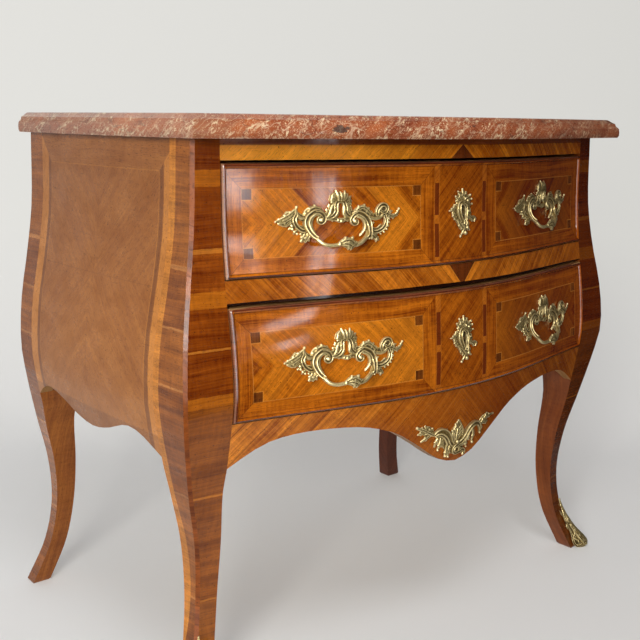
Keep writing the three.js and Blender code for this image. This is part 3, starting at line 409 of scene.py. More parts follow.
# Painted shade inside the keyhole
KEYHOLE_PAINTED_SHADE = paint(14, 9, 6)
PANEL_MIDDLE = 229.8
PANEL_HALF_WIDTH = 143.2
PANEL_INNER_END = 60
PANEL_STRIP_WIDTH = 34
BAND_FIGURE_SHIFT = 300
STRING_LIMITS = (-0.7, 0.6)
LIP_WIDTH = 3.8
BEAD_HIGHLIGHT_LIMITS = (0.5, 1.8)
PANEL_DROP = 4
SQUARE_SIZE = 14.5
SQUARE_EDGE = 1.3
DASH_INNER = 50
DASH_OUTER = 58.5
DASH_EDGE = 1.2
KEYHOLE_HALF_LENGTH = 6
KEYHOLE_HALF_WIDTH = 3
KEYHOLE_SHIFT = -2.5


def drawer_marquetry(name, span, panel_half_height, dash_ends, keyhole, bead_highlight):
    """A drawer front: two framed panels of opposed diagonals, with a plain one between them."""
    material, tree, shader = new_finish(name)
    x, _, z = surface_place(tree)
    low, high = span
    middle = (low + high) / 2
    half_height = (high - low) / 2
    side = x.size()
    rise = z - middle
    to_edge = (DRAWER_HALF_WIDTH - side).least(half_height - rise.size())
    on_bead = 1 - to_edge.past(LIP_WIDTH, 0.8)

    # How far a point lies outside the stringing of its panel
    beside = (side - PANEL_MIDDLE).size() - PANEL_HALF_WIDTH
    above = (rise + PANEL_DROP).size() - panel_half_height
    outside = beside.most(above)
    in_frame = outside.past(0, CRISP)
    upright_band = (beside - above).past(0)
    between_panels = 1 - side.past(PANEL_INNER_END, CRISP)

    panel_along, panel_across = turned(side, (rise + PANEL_DROP).size())
    band_along = chosen(upright_band, x, z)
    band_across = chosen(upright_band, z, side + BAND_FIGURE_SHIFT)
    middle_along, middle_across = turned(x, z)
    along = chosen(between_panels, chosen(in_frame, panel_along, band_along), middle_along)
    across = chosen(between_panels, chosen(in_frame, panel_across, band_across), middle_across)
    along = chosen(on_bead, along, x)
    across = chosen(on_bead, across, z)
    seed = in_frame * 3 + upright_band * in_frame * 2 + between_panels * 7

    strip_shift, joint = use(tree, strips, Across=panel_across, Width=PANEL_STRIP_WIDTH,
                             Seed=middle)
    in_panel = (1 - in_frame) * (1 - between_panels)
    pale = mixed(in_frame, PANEL_PALE, BANDING_PALE)
    deep = mixed(in_frame, PANEL_DEEP, BANDING_DEEP)
    wood, pores = veneer(tree, along, across, pale, deep, seed, figure=1.25)
    shift = (strip_shift * in_panel * 0.7).math("ADD", 0.3, clamp=True)
    string_line = outside.between(*STRING_LIMITS) * (1 - between_panels)
    mitre = (1 - (beside - above).size().past(0.5)) * in_frame * (1 - between_panels)
    wood = overlaid(
        wood,
        (shift * 0.6, DARK_STRIP),
        ((0.3 - shift).math("MULTIPLY", 1.4, clamp=True), LIGHT_STRIP),
        (joint * in_panel * 0.35, DARK_LINE),
        # redder veneer with painted shade over it towards the right-hand end
        (x.past(*RED_VENEER_AND_SHADE_STRETCH) * (0.42 + 0.26 * in_panel), RED_VENEER_AND_SHADE),
        (string_line * 0.55, STRINGING),
        (mitre * 0.55, DARK_LINE),
    )

    # The squares in the corners of the stringing, edged on their inner sides
    to_corner = (0 - beside).most(0 - above)
    square = (1 - to_corner.past(SQUARE_SIZE, CRISP)) * (1 - in_frame)
    square_edge = to_corner.between(SQUARE_SIZE, SQUARE_SIZE + SQUARE_EDGE, CRISP) * (1 - in_frame)
    square_wood, _ = veneer(tree, z, x, SQUARE_WOOD, SQUARE_DEEP, seed=9.0)
    wood = overlaid(wood, (square, square_wood), (square_edge * 0.55, STRINGING))

    # Two dark dashes with pale ends at each side of the middle
    in_dash_band = side.between(DASH_INNER, DASH_OUTER, CRISP)
    low_dash, high_dash = (z.between(*ends, 0.6) for ends in dash_ends)
    dash_sides = (side.between(DASH_INNER - DASH_EDGE, DASH_INNER, CRISP)
                  + side.between(DASH_OUTER, DASH_OUTER + DASH_EDGE, CRISP))
    wood = overlaid(
        wood,
        (in_dash_band * 0.3, DASH_GROUND),
        ((low_dash + high_dash) * in_dash_band * 0.9, DASH_WOOD),
        (dash_sides * 0.25, STRINGING),
        (between_panels * 0.2 * (1 - in_dash_band), MIDDLE_WOOD),
    )

    # The keyhole under its plate with painted shade in it, and the bead round the front with a
    # painted highlight along it
    key_rise = ((z - keyhole).size() - KEYHOLE_HALF_LENGTH).most(0.0)
    to_key = (key_rise * key_rise + (x + KEYHOLE_SHIFT) * (x + KEYHOLE_SHIFT)).math("SQRT")
    bead_colour, _ = veneer(tree, x, z, BEAD_WOOD, BEAD_DEEP, seed=5.0)
    on_left_bead = 1 - (x + DRAWER_HALF_WIDTH).past(LIP_WIDTH, 0.8)
    inner_shadow = to_edge.between(BEAD_WIDTH - 0.6, BEAD_WIDTH + 0.5, 0.6)
    wood = overlaid(
        wood,
        # painted shade inside the keyhole
        (1 - to_key.past(KEYHOLE_HALF_WIDTH, 0.6), KEYHOLE_PAINTED_SHADE),
        (on_bead, bead_colour),
        # painted highlight along the bead
        (to_edge.between(*BEAD_HIGHLIGHT_LIMITS) * (0.1 + bead_highlight * on_left_bead), BEAD_PAINTED_HIGHLIGHT),
        (inner_shadow * 0.45, DARK_LINE),
    )
    polish(tree, shader, wood, pores, gloss=0.72, coat=0.5 + 0.7 * on_bead)
    return material


APRON_LOW = 300
STRIP_PALE = paint(250, 158, 34)
STRIP_DEEP = paint(156, 74, 8)
WEDGE_WOOD = paint(122, 60, 20)
WEDGE_DEEP = paint(78, 36, 12)
# Painted shade over the apron towards its right
APRON_PAINTED_SHADE = paint(100, 26, 6)
APRON_PAINTED_SHADE_STRETCH = (-20, 260)
# Painted light over the frieze's left-hand part
FRIEZE_PAINTED_LIGHT = paint(255, 178, 56)
FRIEZE_PAINTED_LIGHT_STRETCH = (-140, 260)
# Painted shadow of the marble along the top of the frieze, with a dark line at its foot
FRIEZE_SHADOW_PALE = paint(156, 84, 36)
FRIEZE_SHADOW_DEEP = paint(112, 54, 22)
FRIEZE_SHADOW_LOW = CARCASS_HEIGHT - 8.5
GAP_SHADE = paint(20, 8, 4)
GAP_SHADE_HEIGHT = 5.4
GAP_SHADE_MIDDLE = -60
GAP_SHADE_FALL = 0.008


def rail_marquetry(name, leaning_in, low, wedge=None, strip_width=13.0,
                   pale=STRIP_PALE, deep=STRIP_DEEP):
    """A rail of diagonal strips that lean towards the middle at the top, or away from it.

    A wedge at the middle is given by its half width at the rail's low edge, and by how much
    that grows for each millimetre up."""
    material, tree, shader = new_finish(name)
    x, _, z = surface_place(tree)
    side = x.size()
    first, second = turned(side, z)
    along, across = (second, first) if leaning_in else (first, second)
    shift, joint = use(tree, strips, Across=across, Width=strip_width, Seed=low)
    wood, pores = veneer(tree, along, across, pale, deep, seed=low / 10, figure=1.15)
    light_line = noise(combined(tree, along / 200, across / 1.5, 3.0), 1.0).past(0.7, 0.06)
    wood = overlaid(wood, ((shift + 0.5) * 0.62, deep), (joint * 0.65, DARK_LINE),
                    (light_line * 0.25, STRINGING))
    if wedge:
        half_width, growth = wedge
        to_wedge = side - (half_width + growth * (z - low))
        wedge_wood, _ = veneer(tree, z, x, WEDGE_WOOD, WEDGE_DEEP, seed=4.0)
        wood = overlaid(wood, (1 - to_wedge.past(0), wedge_wood),
                        (to_wedge.between(-0.2, 1.1) * 0.45, STRINGING))
    if low == APRON_LOW:
        # painted shade towards the apron's right
        wood = mixed(x.past(*APRON_PAINTED_SHADE_STRETCH) * 0.54, wood, APRON_PAINTED_SHADE)
    if low == MIDDLE_RAIL_LOW:
        shade = GAP_SHADE_HEIGHT - GAP_SHADE_FALL * (x - GAP_SHADE_MIDDLE).size()
        wood = mixed(1 - (z - low).past(shade, 0.6), wood, GAP_SHADE)
    if low == FRIEZE_LOW:
        # a painted shadow of the marble along the top of the frieze, with a dark line at its foot
        marble_shadow, _ = veneer(tree, x, z, FRIEZE_SHADOW_PALE, FRIEZE_SHADOW_DEEP, seed=6.0)
        marble_shadow_edge = z.between(FRIEZE_SHADOW_LOW - 1, FRIEZE_SHADOW_LOW)
        # painted light over the frieze's left-hand part
        wood = overlaid(wood, ((1 - x.past(*FRIEZE_PAINTED_LIGHT_STRETCH)) * 0.55, FRIEZE_PAINTED_LIGHT),
                        (z.past(FRIEZE_SHADOW_LOW), marble_shadow), (marble_shadow_edge * 0.6, DARK_LINE))
    polish(tree, shader, wood, pores, gloss=0.62, coat=0.35)
    return material


def stacked(value, bands):
    """Colours in bands from the floor up, each given with the height at which it starts."""
    share = value / CARCASS_HEIGHT
    ramp = value.tree.nodes.new("ShaderNodeValToRGB")
    ramp.color_ramp.interpolation = "CONSTANT"
    stops = ramp.color_ramp.elements
    while len(stops) < len(bands):
        stops.new(1.0)
    for stop, (height, colour) in zip(stops, bands):
        stop.position = height / CARCASS_HEIGHT
        stop.color = colour
    feed(ramp.inputs[0], share)
    return Field(value.tree, ramp.outputs[0])


BLOCK_DARK = paint(112, 28, 0)
BLOCK_MID = paint(130, 50, 8)
BLOCK_LIGHT = paint(194, 108, 24)
BLOCK_PALE = paint(206, 126, 44)
LEG_WOOD = paint(132, 68, 22)
LEG_DULL = paint(136, 76, 30)
FRONT_BLOCKS = (
    (0, LEG_DULL), (146, BLOCK_PALE), (150, LEG_WOOD), (315, BLOCK_PALE), (318, LEG_WOOD),
    (454, BLOCK_LIGHT), (472, BLOCK_DARK), (532, BLOCK_PALE), (535.5, BLOCK_DARK),
    (590, BLOCK_LIGHT), (612, BLOCK_MID), (664.5, BLOCK_PALE), (668, BLOCK_DARK),
    (753, BLOCK_LIGHT), (776, BLOCK_DARK),
)
SIDE_PALE = paint(184, 120, 56)
SIDE_DEEP = paint(142, 84, 38)
SIDE_ORANGE = paint(212, 138, 60)
SIDE_WOOD = paint(148, 88, 44)
SIDE_DARK = paint(124, 70, 40)
SIDE_LIGHT = paint(186, 126, 74)
# Painted shade on the right-hand post's front: darker and redder, with less pale grain
POST_PAINTED_SHADE = paint(70, 18, 4)
POST_PAINTED_SHADE_STRETCH = (300, 100)
POST_DEEPEST = paint(40, 12, 4)
POST_PALEST = paint(255, 156, 46)
SIDE_LINING = (-173, -150)
SIDE_BLOCKS = (
    (0, SIDE_DARK), (150, SIDE_LIGHT), (153, SIDE_WOOD), (318, SIDE_LIGHT), (321, SIDE_DARK),
    (480, SIDE_LIGHT), (484, SIDE_WOOD), (560, SIDE_LIGHT), (564, SIDE_DARK), (642, SIDE_LIGHT),
    (646, SIDE_WOOD),
)


def post_finish(name, blocks, on_front, gloss):
    """Cross-grained blocks of veneer one above the other, with pale lines between some of them."""
    material, tree, shader = new_finish(name)
    x, y, z = surface_place(tree)
    along = x if on_front else y
    wobble = noise(combined(tree, along / 14, z / 60, 2.0), 1.0) - 0.5
    tint = stacked(z + 2.4 * wobble, blocks)
    tone, pores = use(tree, grain, Along=along, Across=z, Seed=8.0, Figure=0.9)
    if on_front:
        # painted shade on the right-hand post's front
        tint = mixed(x.past(*POST_PAINTED_SHADE_STRETCH) * 0.62, tint, POST_PAINTED_SHADE)
    else:
        tint = mixed(y.between(*SIDE_LINING, 0.6), tint, SIDE_ORANGE)
    deep = mixed(0.46, tint, POST_DEEPEST)
    # less pale grain on the right-hand post, part of its painted shade
    pale = mixed(0.22 - 0.16 * x.past(*POST_PAINTED_SHADE_STRETCH), tint, POST_PALEST)
    polish(tree, shader, mixed(tone, deep, pale), pores, gloss=gloss, coat=0.4 if on_front else 0.3)
    return material


def plain_wood(name, pale, deep, grain_axis, gloss=0.3, coat=0.0, figure=0.9, marks=0.6):
    """A board's own wood, with its grain along x, y or z."""
    material, tree, shader = new_finish(name)
    places = surface_place(tree)
    along = places[grain_axis]
    others = [place for at, place in enumerate(places) if at != grain_axis]
    across = others[0] + others[1] * 0.83
    wood, pores = veneer(tree, along, across, pale, deep, seed=2.0, figure=figure)
    polish(tree, shader, wood, pores, gloss, coat, marks)
    return material


SIDE_SEAM = 282 - DEPTH_MIDDLE
SIDE_SEAM_HEIGHT = 613
SIDE_PANEL_HALF_DEPTH = 166
SIDE_PANEL_TOP = 772
SIDE_STRIP_WIDTH = 46
SIDE_INNER_BAND = paint(92, 50, 28)
SIDE_INNER_LIMITS = (1, 10)
SIDE_OUTER_LIMITS = (12, 39)
SIDE_LINES = ((-1, 0.2), (11.4, 12.8))
SIDE_TOP_LINE = (-0.4, 0.8)
SIDE_LOW_PALE = paint(214, 150, 90)
SIDE_LOW_STRETCH = (430, 300)
SIDE_LOW_BAND = paint(96, 56, 36)
SIDE_LOW_BAND_TOP = 404
SIDE_SHADED_TOP = paint(110, 68, 44)
SIDE_SHADED_STRETCH = (640, 200)


def side_marquetry(name):
    """A side: four quarters whose grain runs out from the middle, with bands on three edges."""
    material, tree, shader = new_finish(name)
    _, y, z = surface_place(tree)
    from_seam = y - SIDE_SEAM
    out, rise = from_seam.size(), z - SIDE_SEAM_HEIGHT
    along, across = turned(out, rise.size())
    beside = out - SIDE_PANEL_HALF_DEPTH
    above = z - SIDE_PANEL_TOP
    in_band = beside.most(above).past(0, CRISP)
    upright = (beside - above * 0.9).past(0)
    along = chosen(in_band, along, chosen(upright, y, z))
    across = chosen(in_band, across, chosen(upright, z, y))
    quarter = from_seam.past(0, 0.2) + 2 * rise.past(0, 0.2)
    shift, _ = use(tree, strips, Across=across, Width=SIDE_STRIP_WIDTH, Seed=4.0)
    wood, pores = veneer(tree, along, across, SIDE_PALE, SIDE_DEEP, quarter * 0.11, figure=0.6)
    seam = 1 - out.least(rise.size()).past(0.5)
    inner_line, outer_line = (beside.between(*limits, CRISP) for limits in SIDE_LINES)
    top_line = above.between(*SIDE_TOP_LINE, CRISP)
    lines = (inner_line + outer_line) * upright + top_line * (1 - upright)
    wood = overlaid(
        wood,
        ((shift + 0.5) * 0.2 * (1 - in_band), SIDE_DEEP),
        (seam * (1 - in_band) * 0.25, DARK_LINE),
        (beside.between(*SIDE_INNER_LIMITS) * upright * 0.5, SIDE_INNER_BAND),
        (beside.between(*SIDE_OUTER_LIMITS) * upright * 0.75, SIDE_ORANGE),
        (lines * 0.3, STRINGING),
        ((1 - z.past(*SIDE_LOW_STRETCH)) * 0.2, SIDE_LOW_PALE),
        ((1 - z.past(SIDE_LOW_BAND_TOP, 3)) * 0.35, SIDE_LOW_BAND),
        (z.past(*SIDE_SHADED_STRETCH) * 0.2, SIDE_SHADED_TOP),
    )
    polish(tree, shader, wood, pores, gloss=0.5, coat=0.35)
    return material


MARBLE_DARK = paint(128, 56, 30)
MARBLE_LIGHT = paint(190, 106, 60)
MARBLE_MOTTLE = paint(156, 80, 50)
MARBLE_CREAM = paint(242, 220, 182)
MARBLE_PALE_VEIN = paint(222, 196, 166)
MARBLE_DARK_VEIN = paint(78, 40, 30)
MARBLE_GREY = paint(70, 58, 54)
# The marble paler and greyer towards its left end
MARBLE_GREYER_LEFT_END = paint(150, 124, 100)
MARBLE_GREYER_LEFT_STRETCH = (-440, 120)
MARBLE_LEAN = (0.86, 0.5)
VEIN_BEND = 90
SPOT_X, SPOT_HEIGHT = -262, 831
SPOT_HALF_LENGTH, SPOT_HALF_HEIGHT = 15, 6
MARBLE_COAT_ROUGHNESS = 0.08


def marble_finish(name):
    """Red marble with cream flecks in slanting drifts, fine veins and a few grey clouds."""
    material, tree, shader = new_finish(name)
    x, y, z = surface_place(tree)
    level = x - y
    run, climb = MARBLE_LEAN
    slant = run * level + climb * z
    rise = run * z - climb * level
    leaning = (slant, x, rise)
    cloud = noise(drawn_out(leaning, (70, 90, 30)), 4.0, 0.6)
    ground = mixed(cloud.past(0.5, 0.35), MARBLE_DARK, MARBLE_LIGHT)
    mottle = noise(drawn_out((x, y, z), (6, 6, 6)), 3.0, 0.65)
    ground = mixed(mottle.past(0.5, 0.3) * 0.6, ground, MARBLE_MOTTLE)

    drift = noise(drawn_out(leaning, (46, 60, 15)), 3.0, 0.6).past(0.5, 0.14)
    flecks = noise(drawn_out(leaning, (7.5, 8, 4.2)), 4.0, 0.75).past(0.56, 0.06)
    specks = noise(drawn_out((x, y, z), (1.6, 1.6, 1.6)), 1.0).past(0.64, 0.06)
    streaks = noise(drawn_out(leaning, (30, 30, 3.6)), 3.0, 0.6).past(0.6, 0.08)
    cream = (flecks * drift).most(specks * 0.6).most(streaks * (0.1 + 0.5 * drift))

    bend = noise(drawn_out((x, y, z), (50, 50, 50)), 2.0) * VEIN_BEND
    wave = noise(drawn_out((slant + bend, y + bend, rise), (90, 90, 40)), 2.0)
    pale_vein = 1 - (wave - 0.5).size().past(0.007, 0.006)
    other = noise(combined(tree, (x - bend) / 70, (y + 2 * bend) / 70, z / 50 + 7), 2.0)
    dark_vein = 1 - (other - 0.5).size().past(0.006, 0.006)

    # A grey cloud in the front edge, ragged round its rim, and a few that fall by chance
    from_spot = (((x - SPOT_X) / SPOT_HALF_LENGTH).math("POWER", 2.0)
                 + ((z - SPOT_HEIGHT) / SPOT_HALF_HEIGHT).math("POWER", 2.0))
    ragged = 2.4 * (noise(drawn_out((x, y, z), (5, 5, 3)), 2.0) - 0.5)
    grey = noise(combined(tree, x / 26 + 3, y / 26, z / 16), 3.0, 0.7).past(0.73, 0.03)
    grey = grey.most(1 - (from_spot + ragged).past(0.7, 0.3))
    colour = overlaid(
        ground,
        (cream * 0.9, MARBLE_CREAM),
        (pale_vein * 0.5, MARBLE_PALE_VEIN),
        (dark_vein * 0.5, MARBLE_DARK_VEIN),
        (grey * 0.85, MARBLE_GREY),
        ((1 - x.past(*MARBLE_GREYER_LEFT_STRETCH)) * 0.4, MARBLE_GREYER_LEFT_END),
    )
    feed(shader.inputs["Base Color"], colour)
    feed(shader.inputs["Roughness"], 0.22 + 0.14 * mottle + 0.1 * cream)
    feed(shader.inputs["Coat Weight"], 0.5 - 0.4 * mottle)
    shader.inputs["Coat Roughness"].default_value = MARBLE_COAT_ROUGHNESS
    feed(shader.inputs["Normal"], bump(0.12 * mottle - 0.1 * cream))
    return material


BRASS_DULL = paint(166, 142, 82)
BRASS_RUBBED = paint(240, 222, 166)
BRASS_HOLLOW = paint(62, 46, 16)
BRASS_PITTED = paint(140, 118, 66)
# Painted shade on the castings towards the right
BRASS_PAINTED_SHADE = paint(74, 56, 30)
BRASS_PAINTED_SHADE_STRETCH = (-10, 270)
RUBBED_LEVEL = 0.66
HOLLOW_LEVEL = 0.32


def brass_finish(name):
    """Old gilt bronze: pale gold where it is rubbed, green-brown in the hollows, with painted shade
    on the castings to the right.
    """
    material, tree, shader = new_finish(name)
    place = surface_place(tree)
    blot = noise(drawn_out(place, (9, 9, 9)), 4.0, 0.65)
    fine = noise(drawn_out(place, (1.1, 1.1, 1.1)), 2.0, 0.6)
    height = stored(tree, "rubbed") + 0.5 * (blot - 0.5)
    hollow = 1 - height.past(HOLLOW_LEVEL, 0.3)
    colour = overlaid(
        mixed(height.past(RUBBED_LEVEL), BRASS_DULL, BRASS_RUBBED),
        (hollow * 0.92, BRASS_HOLLOW),
        (fine.past(0.62, 0.2) * 0.3, BRASS_PITTED),
        # painted shade on the castings towards the right
        (place[0].past(*BRASS_PAINTED_SHADE_STRETCH) * 0.36, BRASS_PAINTED_SHADE),
    )
    feed(shader.inputs["Base Color"], colour)
    feed(shader.inputs["Metallic"], 0.7 - 0.4 * hollow)
    feed(shader.inputs["Roughness"], 0.3 + 0.16 * blot + 0.25 * hollow)
    feed(shader.inputs["Normal"], bump(0.1 * fine))
    return material


def iron_finish(name):
    """Filed iron with rust in patches."""
    material, tree, shader = new_finish(name)
    place = surface_place(tree)
    rust = noise(drawn_out(place, (8, 8, 8)), 4.0, 0.7).past(0.55, 0.2)
    scratch = noise(drawn_out(place, (30, 30, 0.6)), 1.0)
    feed(shader.inputs["Base Color"], mixed(rust, paint(126, 120, 112), paint(84, 56, 40)))
    feed(shader.inputs["Metallic"], 1 - 0.7 * rust)
    feed(shader.inputs["Roughness"], 0.35 + 0.3 * rust + 0.1 * scratch)
    feed(shader.inputs["Normal"], bump(0.05 * scratch + 0.1 * rust))
    return material


OAK_PALE, OAK_DEEP = paint(176, 136, 88), paint(132, 94, 54)
PINE_PALE, PINE_DEEP = paint(190, 150, 100), paint(150, 108, 62)
ALONG_X, ALONG_Y, ALONG_Z = 0, 1, 2
oak_across = plain_wood("oak_across", OAK_PALE, OAK_DEEP, ALONG_X, marks=0.8)
oak_deep = plain_wood("oak_front_to_back", OAK_PALE, OAK_DEEP, ALONG_Y, marks=0.8)
pine_across = plain_wood("pine_across", PINE_PALE, PINE_DEEP, ALONG_X, marks=0.8)
pine_upright = plain_wood("pine_upright", PINE_PALE, PINE_DEEP, ALONG_Z, marks=0.8)
leg_inside = plain_wood("leg_inside", paint(170, 104, 42), paint(122, 64, 24), ALONG_Z,
                        gloss=0.45, coat=0.15)
# The right front leg's inside in painted shade: a darker copy of leg_inside
right_leg_painted_shade = plain_wood("right_leg_painted_shade", paint(136, 72, 28), paint(92, 44, 14), ALONG_Z,
                              gloss=0.45, coat=0.15)
shaded_leg = plain_wood("shaded_leg", paint(112, 58, 36), paint(84, 42, 26), ALONG_Z, gloss=0.3)
arris_wood = plain_wood("worn_arris", paint(150, 80, 30), paint(96, 46, 14), ALONG_Z,
                        gloss=0.4, coat=0.12, figure=1.6, marks=1.2)
iron = iron_finish("old_iron")
brass = brass_finish("old_gilt_bronze")
marble = marble_finish("red_marble")
post_front = post_finish("post_front_blocks", FRONT_BLOCKS, on_front=True, gloss=0.6)
post_side = post_finish("post_side_blocks", SIDE_BLOCKS, on_front=False, gloss=0.5)
side_veneer = side_marquetry("side_marquetry")
frieze_veneer = rail_marquetry("frieze_strips", True, FRIEZE_LOW, wedge=(26, -1.22))
middle_veneer = rail_marquetry("middle_rail_strips", False, MIDDLE_RAIL_LOW, wedge=(1, 0.85),
                               strip_width=24.0, pale=paint(242, 146, 40), deep=paint(136, 64, 10))
apron_veneer = rail_marquetry("apron_strips", True, APRON_LOW,
                              strip_width=30.0, pale=paint(250, 156, 48), deep=paint(148, 72, 12))
upper_veneer = drawer_marquetry("upper_drawer_marquetry", UPPER_DRAWER, panel_half_height=47.75,
                                dash_ends=((639.5, 690.5), (703.5, 752)), keyhole=706.5,
                                bead_highlight=0.5)
lower_veneer = drawer_marquetry("lower_drawer_marquetry", LOWER_DRAWER, panel_half_height=49.5,
                                dash_ends=((439.5, 492), (503, 554.5)), keyhole=508.4,
                                bead_highlight=0.12)


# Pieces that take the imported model's own shapes

def body_of(name):
    """The rigid body that a node belongs to."""
    groups = frame["record"]["behaviour"]["bodies"]
    return next(body for body, members in groups.items() if name in members)


JOINED_WITHIN = 2e-6


def linked(name, data):
    """A new object at the origin, in the scene."""
    item = bpy.data.objects.new(name, data)
    bpy.context.scene.collection.objects.link(item)
    return item


def dressed(name, finishes, pick=None, sharp_degrees=30):
    """A node's own shape with new finishes, its triangles joined and its curves shaded smooth."""
    mesh = nodes[name].data.copy()
    mesh.materials.clear()
    for finish in finishes:
        mesh.materials.append(finish)
    shape = bmesh.new()
    shape.from_mesh(mesh)
    bmesh.ops.remove_doubles(shape, verts=shape.verts, dist=JOINED_WITHIN)
    limit = math.radians(sharp_degrees)
    for face in shape.faces:
        face.smooth = True
        face.material_index = pick(face) if pick else 0
    for edge in shape.edges:
        edge.smooth = edge.calc_face_angle(0) < limit
    shape.to_mesh(mesh)
    shape.free()
    piece = linked(f"{name}_dressed", mesh)
    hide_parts(name)
    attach(piece, body_of(name))


def drawer_or_rail_face(face):
    """Which of its two finishes a face has: the veneer in front, or the board's own wood."""
    return 0 if face.normal.y < -0.35 else 1


def side_face(face):
    """Which of its two finishes a face of a side has: the veneer outside, or the wood inside."""
    outward_x = face.normal.x * math.copysign(1, face.calc_center_median().x)
    return 0 if outward_x > 0.5 else 1


def post_face(face):
    """Which finish a face of a post has: front, side, arris or inside."""
    middle = face.calc_center_median()
    to_side = face.normal.x * math.copysign(1, middle.x) > 0.45
    if to_side:
        return 2 if abs(face.normal.y) > 0.45 else 1
    return 0 if face.normal.y < -0.45 and middle.y <= 0 else 3


for name, finish in (("upper_drawer_front", upper_veneer), ("lower_drawer_front", lower_veneer)):
    dressed(name, (finish, oak_across), drawer_or_rail_face, sharp_degrees=50)
for name, finish in (("frieze_rail", frieze_veneer), ("middle_rail", middle_veneer),
                     ("front_apron", apron_veneer)):
    dressed(name, (finish, oak_across), drawer_or_rail_face)
for name, slot, inside in (("front_left_post", "banding", leg_inside),
                           ("front_right_post", "banding", right_leg_painted_shade),
                           ("rear_left_post", "side_veneer", leg_inside),
                           ("rear_right_post", "side_veneer", shaded_leg)):
    dressed(name, (post_front, post_side, arris_wood, inside), post_face)
for name in ("left_side_panel", "right_side_panel"):
    dressed(name, (side_veneer, pine_upright), side_face, sharp_degrees=35)
dressed("marble_top", (marble,), sharp_degrees=35)

FINISH_BY_WORD = (
    (("lock_case", "lock_bolt"), iron),
    (("pull", "escutcheon", "mount", "sabot"), brass),
    (("runner", "guide", "kicker", "stop", "_side", "drawer_bottom"), oak_deep),
    (("back_muntin", "back_left_panel", "back_right_panel"), pine_upright),
    (("board", "back_top", "back_bottom"), pine_across),
)
for name, node in nodes.items():
    finish = next((finish for words, finish in FINISH_BY_WORD
                   if any(word in name for word in words)), oak_across)
    for place in node.material_slots:
        place.material = finish


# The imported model's outer surface, for the castings to lie on

def smooth_through(places, values):
    """A smooth curve through points at rising places, as a function of the place."""
    last = len(places) - 1
    slopes = []
    for at in range(last + 1):
        before, after = max(at - 1, 0), min(at + 1, last)
        slopes.append((values[after] - values[before]) / (places[after] - places[before]))

    def curve(place):
        place = min(max(place, places[0]), places[last])
        at = 0
        while at < last - 1 and place > places[at + 1]:
            at += 1
        span = places[at + 1] - places[at]
        t = (place - places[at]) / span
        rise = 3 * t * t - 2 * t * t * t
        lead = t * (1 - t) * (1 - t) * slopes[at]
        trail = t * t * (1 - t) * slopes[at + 1]
        return values[at] + (values[at + 1] - values[at]) * rise + span * (lead - trail)
    return curve


LEVELS = [share * CARCASS_HEIGHT for share in HEIGHT_SHARES]
front_end_swell = smooth_through(LEVELS, FRONT_END_SWELL_SHARES)
centre_swell = smooth_through(LEVELS, CENTRE_SWELL_SHARES)
side_swell = smooth_through(LEVELS, SIDE_SWELL_SHARES)


def front_end(z):
    """How far the drawers' ends stand behind the front line of the carcass at a height."""
    return FRONT_END_SETBACK - FRONT_END_SWELL * front_end_swell(z)


def on_front(x, z, out):
    """A point in metres that stands out from the serpentine front."""
    centre = -FRONT_CENTRE_REACH - FRONT_CENTRE_SWELL * centre_swell(z)
    share = x / DRAWER_HALF_WIDTH
    bow = (1 - share * share) * (1 - SERPENTINE_SHARE * share * share)
    y = front_end(z) + (centre - front_end(z)) * bow - out
    return Vector((x, y - DEPTH_MIDDLE, z)) * MM


# Castings: strokes of (across, up, out, width) round each bronze's centre

PROFILES = {
    "band": ((-1, -0.9), (-1, 0.2), (-0.86, 0.6), (-0.62, 0.64), (-0.4, 0.16), (0, -0.02),
             (0.4, 0.16), (0.62, 0.64), (0.86, 0.6), (1, 0.2), (1, -0.9)),
    "leaf": ((-1, -0.7), (-1, -0.15), (-0.74, 0.34), (-0.36, 0.54), (0, 0.02), (0.36, 0.54),
             (0.74, 0.34), (1, -0.15), (1, -0.7)),
    "rib": ((-1, -0.8), (-1, 0), (-0.7, 0.72), (0, 1), (0.7, 0.72), (1, 0), (1, -0.8)),
    "web": ((-1, -0.3), (-0.9, 0.02), (0, 0.1), (0.9, 0.02), (1, -0.3)),
}

